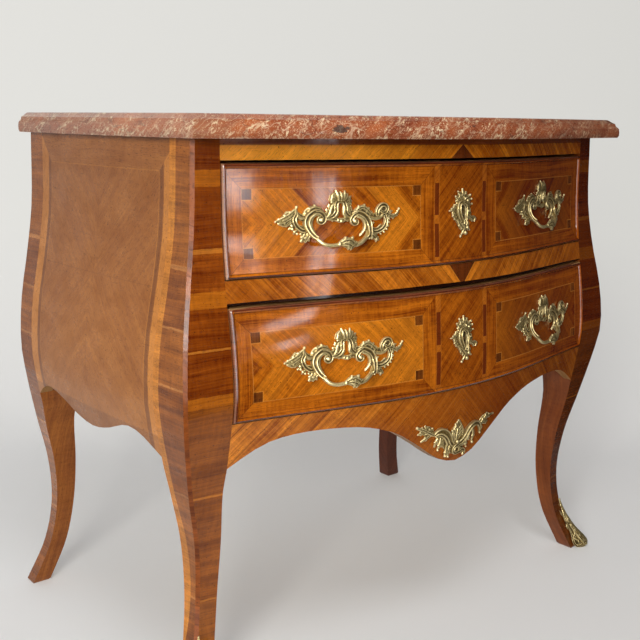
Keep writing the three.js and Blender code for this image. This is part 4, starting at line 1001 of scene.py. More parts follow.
PULL = (
    # Left scroll with its volute and inner band
    ("band", (-17, 4, 2, 3), (-20, 8, 3, 4.5), (-25, 12, 4, 6), (-32, 13, 4.5, 6.5),
     (-39, 10, 5, 7), (-45, 4, 5, 7.4), (-47, -4, 6, 7.4), (-45, -13, 9, 6.4), (-42, -20, 14, 5.6),
     (-39, -23, 18, 5)),
    ("band", (-33, 11.5, 4.5, 4.5), (-25, 10.5, 5, 5.5), (-20.5, 6, 5, 5.5), (-20, 0, 5, 5),
     (-25, -3, 5.2, 4.6), (-29, 0, 5.4, 4), (-28, 4, 5.5, 3.4), (-25, 4, 5.5, 3)),
    ("rib", (-28, 9, 5, 3), (-34, 8, 5, 4), (-39, 3, 4.8, 4.4), (-40, -5, 4.4, 4.4),
     (-37, -13, 4, 3.6), (-33, -18, 3, 2.8), (-29, -22, 2, 1.5)),
    ("leaf", (-37, -13, 3, 3), (-34, -19, 2.5, 3.4), (-30, -23, 1.6, 1.8)),
    # Right scroll with its volute and inner band
    ("band", (23, 4, 2, 3), (27, 8, 3, 5), (33, 9.5, 4, 6), (41, 7, 5, 7), (48, 1, 5, 7.4),
     (51, -8, 6, 7.4), (49, -16, 10, 6.4), (45, -22, 15, 5.8), (39, -25, 19, 5)),
    ("band", (34, 8.5, 4.5, 4.5), (27, 5.5, 5, 5.5), (23.5, 1, 5, 5.5), (25, -5, 5, 5),
     (30, -6, 5.2, 4.4), (32, -2, 5.4, 3.6), (29, 0, 5.5, 3)),
    ("rib", (32, 4, 5, 3), (39, 2, 5, 4), (44, -4, 4.8, 4.4), (45, -12, 4.4, 4.4),
     (42, -18, 4, 3.6), (37, -24, 3, 2)),
    ("leaf", (43, -16, 3.5, 3), (40, -21, 3, 3.4), (37, -25, 2, 1.8)),
    # Bail and its leafy clasp
    ("rib", (-40, -22, 14, 5.2), (-38, -26, 18, 5), (-33, -31, 22, 4.8), (-26, -33, 24, 4.6),
     (-18, -33, 25, 4.6), (-10, -32, 25.5, 4.8), (0, -32, 25.5, 5), (10, -34, 25, 5),
     (20, -33, 23.5, 5), (29, -29, 21, 5), (37, -25, 17, 5), (44, -21, 12, 5.2),
     (48, -17, 9, 5.5)),
    ("leaf", (-12, -31, 26, 4.5), (-5, -27.5, 27.5, 7), (3, -27, 28, 8), (10, -31, 27, 6),
     (14, -35, 25, 3)),
    ("leaf", (-10, -31.5, 27, 4.5), (-2, -31.5, 28.5, 7.5), (4, -34, 28, 6.5), (8, -39, 26, 3)),
    ("leaf", (-7, -33, 26, 4), (0, -36, 27, 4.5), (5, -40.5, 26, 2)),
    ("rib", (-13, -34, 25.5, 3), (-12.5, -31, 27.5, 3), (-12, -28.5, 25.5, 3)),
    # Cartouche: two bands round a slot, leafy edges and the crest
    ("band", (7, 28, 2.5, 4), (1.5, 25, 3.2, 5), (-0.6, 18.5, 3.8, 5.4), (-1, 12, 3.8, 5.4),
     (-4, 7, 3.5, 5), (-9, 4, 3, 4.4), (-15, 3, 2.4, 3)),
    ("band", (7, 28, 2.5, 4), (12, 25, 3.2, 5), (14.5, 18.5, 3.8, 5.2), (15, 12, 3.8, 5.2),
     (18.5, 7, 3.4, 4.6), (25, 4, 2.6, 3.4)),
    ("rib", (-1, 25, 2.2, 4), (-5.5, 20, 2.4, 4.2), (-8, 15, 2.4, 4.2), (-9, 11, 2.4, 4),
     (-12, 6, 2.2, 3.6), (-16, 3, 2, 2.6)),
    ("rib", (16, 26, 2.2, 3.6), (19, 21, 2.4, 3.6), (20, 16, 2.4, 3.6), (21.6, 11, 2.2, 3.4),
     (25, 6, 2, 2.6)),
    ("leaf", (-4, 19, 2, 3.6), (-9, 20.5, 2, 4), (-12.5, 19, 1.4, 2)),
    ("leaf", (-8, 15, 2, 3.2), (-12, 14, 1.8, 3.4), (-15.5, 15, 1.2, 1.6)),
    ("leaf", (-10, 11, 2, 3), (-14, 9.5, 1.6, 3), (-17, 9.6, 1.2, 1.6)),
    ("leaf", (19, 22, 2, 3), (23, 22, 1.6, 3), (26, 22, 1.2, 1.6)),
    ("leaf", (20, 16, 2, 3), (24, 17, 1.6, 3), (26, 18, 1.2, 1.6)),
    ("leaf", (21, 12, 2, 3), (25, 12, 1.6, 3), (28, 12.5, 1.2, 1.6)),
    ("rib", (4, 28, 3.5, 4.6), (2, 36, 4.2, 4.4), (-0.5, 43, 2, 2.2)),
    ("rib", (7, 28, 3.8, 4.4), (7.4, 35, 4.6, 4.4), (6.5, 40.5, 2.4, 2.4)),
    ("rib", (10, 28, 3.5, 4.6), (12, 35, 4.2, 4.4), (14.5, 42, 2, 2.2)),
    ("rib", (12, 28, 3.2, 4.2), (15.5, 33, 3.8, 4.4), (18.5, 37.5, 2, 2.6)),
    ("leaf", (13, 25, 3, 4), (18.5, 29, 3.4, 4.8), (24.5, 33.5, 1.6, 2.4)),
    ("leaf", (15, 21, 3, 4), (20.5, 24, 3.2, 4.6), (26, 27.5, 1.5, 2.4)),
    ("leaf", (2, 28, 3.2, 4.2), (-2, 33, 3.6, 4.6), (-6, 35, 1.6, 2.6)),
    ("leaf", (0, 24, 3, 4), (-4.5, 27, 3.2, 4.6), (-9, 28, 1.4, 2.4)),
    ("leaf", (-14, 2.6, 2.6, 4.6), (-7, 2, 2.8, 5), (0, 0.8, 3, 5)),
    ("leaf", (27, 2.6, 2.6, 4.6), (20, 1.6, 2.8, 5), (13, 0.6, 3, 5)),
    ("band", (-1, 1, 3, 4.6), (7, -0.6, 3.6, 6), (15, 1, 3, 4.6)),
    # Left wing: its stem, the scroll behind it and the spread leaf
    ("rib", (-43, 5, 3, 4), (-49, 4, 2.6, 4.6), (-55, 5, 2.6, 4.6), (-59, 9, 2.6, 4.2),
     (-61, 14, 2.5, 3.6), (-60, 19, 2, 2.4)),
    ("band", (-61, 16, 3, 3), (-61, 10, 3.4, 4.4), (-64, 3, 3.6, 5.4), (-62.5, -4, 3.8, 5.6),
     (-57, -10.5, 3.6, 5.4), (-50, -13.5, 3.4, 5), (-44, -11, 3, 3.4)),
    ("leaf", (-61, 17, 2.4, 3), (-67, 12, 3, 5), (-75, 7, 3, 5.4), (-84, 3, 2.2, 4),
     (-91, 0.5, 1.2, 2)),
    ("leaf", (-62, 10, 3, 3), (-69, 6, 3.4, 5.4), (-78, 1, 3, 5), (-87, -3, 1.4, 2.4)),
    ("leaf", (-63, 4, 3, 3), (-69, 0, 3, 5), (-75, -4, 2.2, 4), (-81, -6.5, 1.2, 2)),
    ("leaf", (-62, -2, 2.6, 3), (-66, -7, 2.4, 4), (-72, -11, 1.4, 2.4)),
    ("leaf", (-58, -9, 2.6, 3), (-61, -14, 2.2, 3.6), (-65, -18, 1.2, 2)),
    ("rib", (-45, -11, 3, 3.4), (-46, -6, 3.2, 3.6), (-48, -4, 2.6, 2.2)),
    # Leaves over and under the left scroll
    ("leaf", (-17, 8, 2, 3), (-24, 15, 2.8, 5), (-31, 18, 3, 6), (-38, 16, 3, 6),
     (-44, 10, 2.6, 5.4), (-50, 6.5, 2, 4)),
    ("leaf", (-30, 17, 2.6, 3.6), (-34, 22, 1.4, 2)),
    ("leaf", (-37, 15, 2.6, 3.6), (-43, 17.5, 1.4, 2)),
    ("leaf", (-43, -10, 3.4, 5), (-42, -16, 4, 6), (-45, -23, 3.4, 6.4), (-49, -30, 1.8, 3.6)),
    ("leaf", (-46, -14, 3, 4.6), (-50, -22, 2.6, 5.4), (-54, -30, 1.4, 3)),
    ("web", (-44, -12, 1.6, 8), (-47, -20, 1.6, 11), (-50, -27, 1.4, 8)),
    # Right wing: its stem, the scroll, the rolled leaf and the tip
    ("rib", (52, 3, 3, 4), (58, 1, 2.6, 4.8), (65, 0, 2.6, 4.8), (72, 2, 2.6, 4.4),
     (77, 6, 2.6, 3.6)),
    ("band", (76, 9, 3, 3), (80, 2.5, 3.4, 4.6), (81, -5, 3.8, 5.4), (77, -13, 3.8, 5.6),
     (69, -18, 3.4, 5), (61, -18.5, 3, 4.2), (55, -15, 3, 3.4)),
    ("rib", (56, -12, 3, 3.4), (58, -7, 3, 3), (62, -5, 2.4, 2)),
    ("band", (68, 2, 3, 3.4), (66, 10, 4, 5), (69, 16.5, 4.5, 5.6), (75.5, 20, 4.5, 5.6),
     (82, 17, 4, 5), (82, 11, 4, 4.4), (76, 9, 4.5, 3.8), (71, 12, 4.5, 3)),
    ("leaf", (79, 9, 3, 4.6), (86, 5.5, 2.8, 6), (93, 2.5, 2.4, 5), (99, 4, 2, 4),
     (103, 8, 2, 3.2), (105, 13, 1.6, 2.4)),
    ("leaf", (86, 5, 2.6, 3.4), (90, 9, 2, 3), (95, 10.5, 1.4, 1.8)),
    # Leaves over and under the right scroll
    ("leaf", (26, 3, 2, 3), (30, 9, 2.8, 5), (36, 14.5, 3, 6), (43, 17, 3, 6), (49, 14, 3, 6),
     (55, 8.5, 2.6, 5), (60, 4, 2, 4)),
    ("leaf", (40, 16, 2.6, 3.6), (45, 21, 1.4, 2)),
    ("leaf", (48, 14, 2.6, 3.6), (54.5, 16, 1.4, 2)),
    ("leaf", (52, 10, 2.6, 3), (58.5, 11.5, 1.4, 1.8)),
    ("leaf", (51, -11, 3.4, 4.6), (53, -17, 3.6, 5.6), (58, -24, 3.4, 6.4), (64, -29, 2.8, 5.4),
     (70, -31, 2, 3.6)),
    ("rib", (56, -17, 3, 3), (61, -22, 3.2, 3.4), (66, -24.5, 2.4, 2.6)),
    ("web", (51, -13, 1.6, 8), (57, -22, 1.8, 11), (64, -28, 1.6, 8)),
    # Thin webs that join the leaves to the bands
    ("web", (-60, 8, 2.2, 14), (-70, 4, 2.4, 20), (-80, 0, 2, 13), (-88, -1, 1.2, 5)),
    ("web", (-19, 6, 1.6, 7), (-30, 14, 2.4, 13), (-40, 12, 2.4, 13), (-50, 5, 2, 9),
     (-60, 10, 1.8, 8)),
    ("web", (28, 5, 1.6, 7), (37, 11, 2.4, 13), (47, 10, 2.4, 13), (57, 4, 2, 9), (70, 3, 1.8, 8)),
    ("web", (8, 39, 3, 15), (7, 34, 3.6, 26), (7, 28, 3.6, 30), (7, 24, 2.6, 22)),
    ("rib", (4.4, 26, 2.6, 2.6), (2.6, 22, 3, 3), (2.4, 15, 3.2, 3.2), (2, 8, 3.2, 3.4),
     (-2, 4, 3, 3.4)),
    ("rib", (9.6, 26, 2.6, 2.6), (11.6, 22, 3, 3), (11.6, 15, 3.2, 3.2), (12.2, 8, 3.2, 3.4),
     (17, 4, 3, 3.4)),
    ("web", (-9, 6, 2, 7), (-3, 5, 2.2, 8), (1, 5, 2.2, 7)),
    ("web", (22, 5, 2, 7), (16, 5, 2.2, 8), (13, 5, 2.2, 7)),
    ("web", (-1, 26, 1.5, 8), (-5, 15, 1.5, 10), (-9, 6, 1.5, 9)),
    ("web", (16, 26, 1.5, 8), (18, 15, 1.5, 8), (22, 6, 1.5, 8)),
    ("web", (74, 14, 1.6, 14), (80, 8, 1.6, 12), (90, 4, 1.4, 7)),
    ("web", (-56, -11, 1.4, 10), (-46, -10, 1.4, 6)),
    ("web", (76, -12, 1.4, 8), (66, -17, 1.4, 7), (55, -14, 1.4, 6)),
)
PULL_BEADS = (
    (-24.5, 1, 5.6, 3), (28, -2.4, 5.6, 3), (7, -1.4, 4, 3), (2.6, 0, 3.6, 2.2),
    (11.6, 0, 3.6, 2.2), (-68, -6, 3, 2.4), (-67, -10.5, 2.8, 2.2), (-64, -14.5, 2.6, 2.1),
    (-60, -17.5, 2.4, 1.9), (-54.5, -18, 2.2, 1.8), (86.5, -1, 3, 1.9), (86.5, -6, 3, 2),
    (85, -11, 2.8, 2), (82.6, -15.6, 2.8, 1.9), (78, -20, 2.6, 1.8), (72.5, -22.4, 2.4, 1.7),
    (-60, 20, 2.4, 2.2), (105, 13, 2, 2), (64, -30, 3, 2.6), (-9, 9, 3, 1.8), (22, 8.6, 3, 1.6),
    (-91, 0.5, 1.6, 1.8),
)

ESCUTCHEON = (
    ("leaf", (-1, 14, 4, 4.4), (-2, 25, 4.6, 5.6), (-2, 37, 2.6, 3)),
    ("leaf", (-3, 14, 3.6, 4), (-7, 23, 4, 5), (-12, 33, 2.2, 3)),
    ("leaf", (1, 14, 3.6, 4), (4, 22, 4, 5), (7, 32, 2.2, 3)),
    ("leaf", (3, 12, 3.6, 4), (9, 19, 3.6, 5), (14, 26, 2.2, 3.2)),
    ("leaf", (4, 10, 3.2, 4), (11, 15, 3.2, 4.6), (17, 20, 2, 3)),
    ("leaf", (5, 8, 3.2, 3.4), (13, 10, 2.8, 4), (20, 12, 1.6, 2.6)),
    ("leaf", (-5, 13, 3.2, 3.6), (-11, 19, 3.4, 5), (-17, 25, 2, 3)),
    ("leaf", (-7, 11, 3, 3), (-12, 15, 3, 4), (-16.5, 18.5, 1.6, 2.4)),
    ("band", (-3, 16, 4, 4), (-8, 15, 4.4, 6.4), (-12, 9, 5, 7.6), (-12, 1, 5, 8), (-9, -6, 5, 7),
     (-5, -12, 4.6, 5.4), (-2, -16, 3.6, 3.6)),
    ("band", (0, 13, 4, 3.6), (4, 9, 4.6, 4.8), (5, 2, 5, 4.8), (4, -5, 5, 4.8),
     (4, -11, 4.6, 4.6), (2, -17, 4, 3.6)),
    ("band", (5, 2, 4, 3.2), (9, 5.4, 4.6, 4.2), (12.6, 3, 4.6, 3.8), (10.6, -0.4, 4, 3.2)),
    ("leaf", (6, -2, 3.6, 3), (12, -1, 3.6, 4.4), (19.5, -2, 2, 3)),
    ("leaf", (6, -5, 3.6, 3.2), (12, -6, 4, 5), (19, -10, 4, 6), (25, -11, 3, 4)),
    ("rib", (24, -7.6, 3, 3), (28, -11, 3, 3.4), (26, -16, 2.4, 2.8)),
    ("leaf", (-13, 10, 3, 3.2), (-18, 10.4, 3.4, 4.4), (-23, 6, 3.4, 5), (-25, 3, 3, 3.6)),
    ("rib", (-24, 5, 3, 3), (-28, 3.4, 2.2, 2.6), (-31, 3, 1.6, 1.8)),
    ("leaf", (-24, 2, 3, 3.6), (-22, -2, 3.4, 5), (-19, -7, 3, 4.6), (-13, -12, 2.6, 3.2)),
    ("leaf", (-13, -11, 3, 3.4), (-9, -17, 3.6, 5.4), (-4, -22, 3.6, 5.4), (1, -28, 3, 4.4),
     (1, -34, 2.4, 2.6)),
    ("rib", (-8, -14, 3.6, 3.2), (-3, -19, 4.2, 4.2), (2, -24, 4.2, 4.2), (4, -29, 3.2, 3.2)),
    ("leaf", (9, -12, 3, 3), (10, -18, 3.6, 4.4), (9, -24, 3.6, 4.4), (13, -29, 2, 2.6)),
    ("rib", (2, -17, 4, 3.6), (2, -22, 4.2, 3.6), (0, -27, 3.6, 3.2), (-3, -33, 2.6, 2.6),
     (-6, -37, 2, 2.2)),
    ("web", (-2, 32, 1.6, 12), (-1, 20, 1.8, 26), (-1, 13, 1.8, 24)),
    ("web", (-12, 10, 1.5, 10), (-15, 0, 1.5, 12), (-8, -12, 1.6, 12), (0, -22, 1.6, 14),
     (2, -32, 1.4, 5)),
    ("web", (8, 8, 1.5, 8), (9, -4, 1.5, 8), (18, -9, 1.5, 8)),
)
ESCUTCHEON_BEADS = (
    (8, -24, 4.2, 3.4), (4, -32, 3.6, 3.6), (-6, -37, 2.2, 2.4), (12, -18, 3.2, 1.8),
    (15, -28, 2.2, 1.8), (1, 21, 6, 2.2), (8, 18, 5, 2.4), (8, 10, 4, 1.9), (15.5, 26, 3, 2.1),
    (19, 20, 2.6, 2), (-12, 32, 2.6, 1.9), (-17, 25, 2.4, 1.8), (-18, 12, 3.4, 2),
    (10.6, 1.6, 5, 1.7), (21, 12, 2.2, 1.7),
)

MOUNT = (
    # Left spray, scroll and its hanging leaves
    ("leaf", (-55, 14, 3, 4.4), (-64, 17, 4, 5.6), (-73, 22, 4, 6), (-84, 28, 3, 5),
     (-96, 32, 2, 3.4)),
    ("leaf", (-72, 22, 3.4, 4.2), (-75, 28, 3.4, 5), (-79, 34, 2, 3.2)),
    ("leaf", (-66, 19, 3.4, 4.2), (-69, 25, 3.4, 5), (-70, 31, 2, 3.2)),
    ("leaf", (-78, 24, 3, 3.8), (-85, 22, 2.6, 4.4), (-92, 20, 1.6, 2.6)),
    ("leaf", (-66, 16, 3, 4.4), (-74, 12, 3, 5), (-84, 7, 1.6, 3)),
    ("leaf", (-62, 17, 3, 3.4), (-63, 23, 3, 3.8), (-62, 28, 2, 2.6)),
    ("band", (-58, 14, 3.6, 5), (-53, 18, 4.6, 7.4), (-44, 19, 5, 9.6), (-35, 14.5, 5.6, 10),
     (-27, 6, 5.6, 9), (-22, -3, 5.6, 7.6), (-15, -10, 5, 6)),
    ("rib", (-55, 11, 3, 3), (-47, 11.6, 4, 3.2), (-39, 8, 4.6, 3.2), (-32, 0, 4.6, 3.2),
     (-27, -8, 4, 2.6)),
    ("leaf", (-48, 12, 3.6, 4), (-52, 3, 3.6, 5.6), (-54.5, -7, 2, 3)),
    ("leaf", (-43, 8, 3.6, 4), (-44, -3, 3.6, 5.6), (-47, -14, 2, 3)),
    ("leaf", (-38, 5, 3.6, 4), (-38, -4, 3, 4.6), (-39, -10, 2, 2.6)),
    ("leaf", (-28, -7, 3.6, 4), (-28, -18, 3.6, 5.4), (-29, -29, 2, 3.2)),
    ("leaf", (-21, -10, 3.6, 4), (-22, -20, 3.6, 5), (-22, -30, 2, 3.2)),
    # Tall leaf at the middle, and the knot under it
    ("leaf", (-12, -9, 4, 4.4), (-17, 2, 5, 6.6), (-17, 12, 5, 6.6), (-12, 21, 4.6, 6),
     (-4, 31, 2.2, 3)),
    ("rib", (-9, -8, 4.6, 3), (-10, 6, 5.6, 3), (-8, 17, 5, 2.6), (-4, 29, 3, 2)),
    ("rib", (-9, -2, 5, 2), (-2, 3, 5, 2.2), (4, 7, 3.6, 1.8)),
    ("rib", (-9, 3, 5, 2), (-2, 8, 5, 2.2), (5, 13, 3.6, 1.8)),
    ("rib", (-9, 8, 5, 2), (-2, 13, 4.6, 2.2), (3, 18, 3.4, 1.8)),
    ("rib", (-8, 13, 5, 2), (-3, 18, 4.4, 2.2), (1, 22, 3.2, 1.8)),
    ("rib", (5, 3, 4, 2.8), (6, 10, 4, 3), (4, 17, 3.6, 3), (0, 24, 3, 2.6), (-4, 31, 2.4, 2)),
    ("web", (-8, -8, 2.6, 14), (-7, 4, 3, 24), (-6, 14, 3, 21), (-4, 24, 2.4, 11),
     (-3, 31, 1.6, 3)),
    ("band", (-2, -11, 5, 4.4), (-9, -12, 6, 5.2), (-14, -17, 6, 5.2), (-12, -23, 6, 5),
     (-6, -25.5, 5.6, 4.4)),
    ("band", (-6, -25, 5, 4.4), (2, -24, 5, 5), (9, -22, 4.6, 5), (14, -26, 4, 5),
     (12, -31, 3.6, 3.8)),
    ("leaf", (-6, -8, 5, 4.4), (-9, -2, 5.4, 4.6), (-7, 4, 4, 3)),
    ("leaf", (-4, -14, 5, 3.6), (1, -18, 5, 4), (4, -23, 4, 3)),
    # Right scroll, its hanging leaves and the spray
    ("band", (-3, -10, 4.6, 5.4), (6, -6, 5, 7.6), (13, 1, 5, 8.6), (19, 9, 5, 8.6),
     (27, 15.6, 5, 8), (37, 18, 4.6, 7.4), (46, 14, 4, 6.4), (51, 6, 3.6, 5), (52, -2, 3, 3.6)),
    ("rib", (0, -14, 4, 3), (10, -13, 4, 3.2), (18, -7, 4.4, 3.2), (24, 3, 4.4, 3),
     (30, 10, 4, 2.6)),
    ("leaf", (33, 8, 3.6, 3.6), (35, -2, 3.2, 5), (34, -14, 2, 3.6)),
    ("leaf", (15, -6, 3.6, 3.6), (18, -13, 3.2, 4.4), (20, -20, 2, 2.6)),
    ("leaf", (22, 0, 3.6, 3), (25, -5, 3, 3.8), (27, -11, 2, 2.2)),
    ("leaf", (49, 12, 3.6, 4.6), (56, 17, 4, 6), (63, 23, 4, 6), (69, 29, 2.6, 3.6)),
    ("leaf", (60, 20, 3.6, 4.2), (72, 23, 3.2, 5), (86, 24, 1.6, 2.8)),
    ("leaf", (56, 14, 3.6, 4), (65, 13, 3, 4.6), (73, 14, 1.6, 2.6)),
    ("leaf", (53, 10, 3, 3), (57, 6, 2.6, 3.4), (60, 3, 1.6, 2)),
    ("web", (-62, 17, 1.6, 9), (-74, 22, 1.6, 12), (-86, 27, 1.4, 8)),
    ("web", (50, 13, 1.6, 8), (62, 20, 1.6, 12), (76, 23, 1.4, 7)),
    ("web", (-46, 10, 1.6, 12), (-36, 4, 1.8, 14), (-25, -10, 1.8, 14), (-8, -16, 2, 20),
     (8, -14, 1.8, 14), (20, 0, 1.8, 10), (32, 10, 1.6, 10)),
)
MOUNT_BEADS = (
    (-95, 32.6, 3, 2.6), (-71, 27, 4, 2.2), (-7, -5, 6, 3.4), (34, -15, 3, 2.8),
    (-13, 21.6, 5, 1.9), (-34, 20, 5.2, 2), (-28.5, -27, 3, 2.2), (-22, -29, 3, 2.2),
    (52, -2, 3.4, 2.4), (86, 24, 2, 2), (12, -31, 4, 2.4), (-47, -13, 2.8, 2), (20, -20, 2.6, 1.9),
)

SABOT_HALF = (
    ("band", (3, 74, 3, 3), (8, 66, 4, 4.4), (13, 58, 5, 5.4), (13.6, 51, 6, 5.4), (9, 50, 8, 4.4),
     (8, 55, 8, 3.4)),
    ("band", (13, 54, 4, 4.4), (13, 43, 3.6, 4.8), (14, 33, 4, 5), (18, 22, 4.4, 5.6),
     (23, 12, 4.6, 6), (22, 5, 6, 5.6), (13, 3.4, 11, 5.6), (4, 3.6, 16, 5)),
    ("band", (2, 54, 6, 4), (4.6, 42, 7, 4.4), (5.6, 32, 9, 4.6), (8, 26, 9, 4.4),
     (15, 21, 6, 4.6)),
    ("band", (5, 27, 11, 4.6), (7.6, 21, 15, 5.4), (7, 13, 18, 5.6), (7.6, 6, 16, 5),
     (11, 7, 12, 4.4), (11.6, 13, 11, 3.6), (9, 16, 12, 3)),
    ("leaf", (12, 62, 3.6, 3.4), (16, 68, 3, 4), (17.6, 75, 1.6, 2.4)),
    ("leaf", (14, 46, 4, 3.4), (18.6, 42, 3.4, 4.2), (20, 36, 2, 2.6)),
    ("rib", (17, 19, 4, 4), (13, 16, 8, 4.4), (10, 14, 11, 4.4)),
    ("web", (6, 46, 3, 10), (8, 36, 3, 12), (10, 26, 3.4, 14), (13, 14, 4, 18)),
)
SABOT_SPINE = (
    ("leaf", (0, 98, 1.6, 3), (0, 86, 2.6, 5), (0, 72, 4.4, 6.4), (0, 58, 7, 7.4), (0, 47, 9, 7.4),
     (0, 37, 12, 7.4), (0, 27, 16, 8), (0, 18, 19.4, 9), (0, 11, 20, 9), (0, 5, 16, 8)),
    ("rib", (0, 58, 3, 6), (0, 46, 4, 9), (0, 35, 6, 11), (0, 26, 9, 13), (0, 17, 11, 15),
     (0, 9, 10, 15)),
    ("web", (0, 66, 1, 14), (0, 48, 1.6, 24), (0, 38, 1.8, 20), (0, 28, 1.8, 24), (0, 14, 2, 30),
     (0, 4, 2.4, 38)),
)
SABOT_BEADS = (
    (0, 97, 2, 1.8), (3.4, 90, 2.2, 1.5), (-3.4, 90, 2.2, 1.5), (4, 83, 2.4, 1.5),
    (-4, 83, 2.4, 1.5), (4.6, 77, 2.4, 1.5), (-4.6, 77, 2.4, 1.5), (9.4, 54, 5, 2),
    (-9.4, 54, 5, 2),
)


STROKE_FULLNESS = 0.58
STROKE_SEGMENTS = 6
LOBE_SWING = math.radians(56)
LOBE_STEPS = ((0.15, 0.1, 0.55), (0.6, 0.3, 0.56), (1.0, 0.8, 0.28))
WEAR_PASSES = 12
WEAR_CONTRAST = 1.6
BACK_CLEARANCE = 0.35


def with_lobes(kind, stroke):
    """A stroke and, on a leaf, the pairs of pointed lobes at its sides."""
    yield kind, stroke
    if kind != "leaf":
        return
    for before, here, after in zip(stroke, stroke[1:], stroke[2:]):
        across, up, out, width = here
        heading = math.atan2(after[1] - before[1], after[0] - before[0])
        for swing in (-1, 1):
            way = heading + swing * LOBE_SWING
            yield "rib", [(across + reach * width * math.cos(way),
                           up + reach * width * math.sin(way), out - drop, width * share)
                          for reach, drop, share in LOBE_STEPS]


def bent_tubes(kind, strokes):
    """The mesh of one kind of stroke, each with its section drawn along a smooth curve."""
    section = bpy.data.curves.new("section", "CURVE")
    outline = section.splines.new("POLY")
    outline.points.add(len(PROFILES[kind]) - 1)
    outline.use_cyclic_u = True
    for point, (side, height) in zip(outline.points, PROFILES[kind]):
        point.co = (side, height, 0, 1)
    section_item = linked("section", section)
    path = bpy.data.curves.new("path", "CURVE")
    path.dimensions = "3D"
    path.twist_mode = "Z_UP"
    path.bevel_mode = "OBJECT"
    path.bevel_object = section_item
    path.use_fill_caps = True
    path.resolution_u = STROKE_SEGMENTS
    for stroke in strokes:
        line = path.splines.new("BEZIER")
        line.bezier_points.add(len(stroke) - 1)
        for point, (across, up, out, width) in zip(line.bezier_points, stroke):
            point.co = (across, up, out)
            point.radius = width * STROKE_FULLNESS
            point.handle_left_type = point.handle_right_type = "AUTO"
    path_item = linked("path", path)
    bpy.context.view_layer.update()
    view = bpy.context.evaluated_depsgraph_get()
    mesh = bpy.data.meshes.new_from_object(path_item.evaluated_get(view))
    for item in (path_item, section_item):
        bpy.data.objects.remove(item)
    return mesh


def smoothed(shape, passes):
    for _ in range(passes):
        bmesh.ops.smooth_vert(shape, verts=shape.verts, factor=0.5,
                              use_axis_x=True, use_axis_y=True, use_axis_z=True)


def cast(name, strokes, beads, voxel):
    """One bronze built flat: its strokes and beads grown together and smoothed.

    Each point keeps how far it stands proud of the smoothed form, where the gilding rubs."""
    by_kind = {}
    for kind, *stroke in strokes:
        for part_kind, part in with_lobes(kind, stroke):
            by_kind.setdefault(part_kind, []).append(part)
    shape = bmesh.new()
    for kind, members in by_kind.items():
        mesh = bent_tubes(kind, members)
        shape.from_mesh(mesh)
        bpy.data.meshes.remove(mesh)
    for across, up, out, radius in beads:
        bmesh.ops.create_icosphere(shape, subdivisions=2, radius=radius,
                                   matrix=Matrix.Translation((across, up, out)))
    rough = bpy.data.meshes.new(name)
    shape.to_mesh(rough)
    shape.free()
    item = linked(name, rough)
    grown = item.modifiers.new("grown_together", "REMESH")
    grown.mode = "VOXEL"
    grown.voxel_size = voxel
    view = bpy.context.evaluated_depsgraph_get()
    whole = bpy.data.meshes.new_from_object(item.evaluated_get(view))
    bpy.data.objects.remove(item)

    shape = bmesh.new()
    shape.from_mesh(whole)
    smoothed(shape, 1)
    shape.normal_update()
    places = [vertex.co.copy() for vertex in shape.verts]
    normals = [vertex.normal.copy() for vertex in shape.verts]
    smoothed(shape, WEAR_PASSES)
    rubbed = shape.verts.layers.float.new("rubbed")
    for vertex, place, normal in zip(shape.verts, places, normals):
        hollow = (vertex.co - place).dot(normal)
        vertex[rubbed] = 0.5 - WEAR_CONTRAST * hollow
        vertex.co = place
    shape.to_mesh(whole)
    shape.free()
    return whole


def laid(whole, name, place):
    """A casting on the surface: each point goes to its place and never under the wood."""
    mesh = whole.copy()
    mesh.name = f"{name}_casting"
    for vertex in mesh.vertices:
        across, up, out = vertex.co
        vertex.co = place(across, up, max(out, BACK_CLEARANCE))
    mesh.materials.clear()
    mesh.materials.append(brass)
    shape = bmesh.new()
    shape.from_mesh(mesh)
    bmesh.ops.recalc_face_normals(shape, faces=shape.faces)
    for face in shape.faces:
        face.smooth = True
    shape.to_mesh(mesh)
    shape.free()
    piece = linked(mesh.name, mesh)
    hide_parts(name)
    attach(piece, body_of(name))


PULL_CENTRE = 233.96
PULL_HEIGHTS = {"upper": 703.2, "lower": 505.05}
KEY_HEIGHTS = {"upper": 705.7, "lower": 507.55}
MOUNT_HEIGHT = 342.9
SIDES = (("left", -1), ("right", 1))
pull_casting = cast("pull", PULL, PULL_BEADS, voxel=0.7)
escutcheon_casting = cast("escutcheon", ESCUTCHEON, ESCUTCHEON_BEADS, voxel=0.55)
mount_casting = cast("mount", MOUNT, MOUNT_BEADS, voxel=0.65)


def on_front_from(centre, height):
    """Where a casting's own points go, when its centre is at one place on the front."""
    return lambda across, up, out: on_front(centre + across, height + up, out)


for drawer in ("upper", "lower"):
    for side, sign in SIDES:
        laid(pull_casting, f"{drawer}_{side}_pull",
             on_front_from(sign * PULL_CENTRE, PULL_HEIGHTS[drawer]))
    laid(escutcheon_casting, f"{drawer}_escutcheon", on_front_from(0, KEY_HEIGHTS[drawer]))
laid(mount_casting, "apron_mount", on_front_from(0, MOUNT_HEIGHT))

# The sabots wrap the outer arris of the front feet
LEG_CORE_INSET = 12
WRAP_RADIUS = 17
POST_TOP_HALF_WIDTH = 444
SIDE_SWELL = 34.5
FLOOR_GAP = 0.2


def mirrored(strokes):
    return tuple((kind, *((-across, *rest) for across, *rest in points))
                 for kind, *points in strokes)


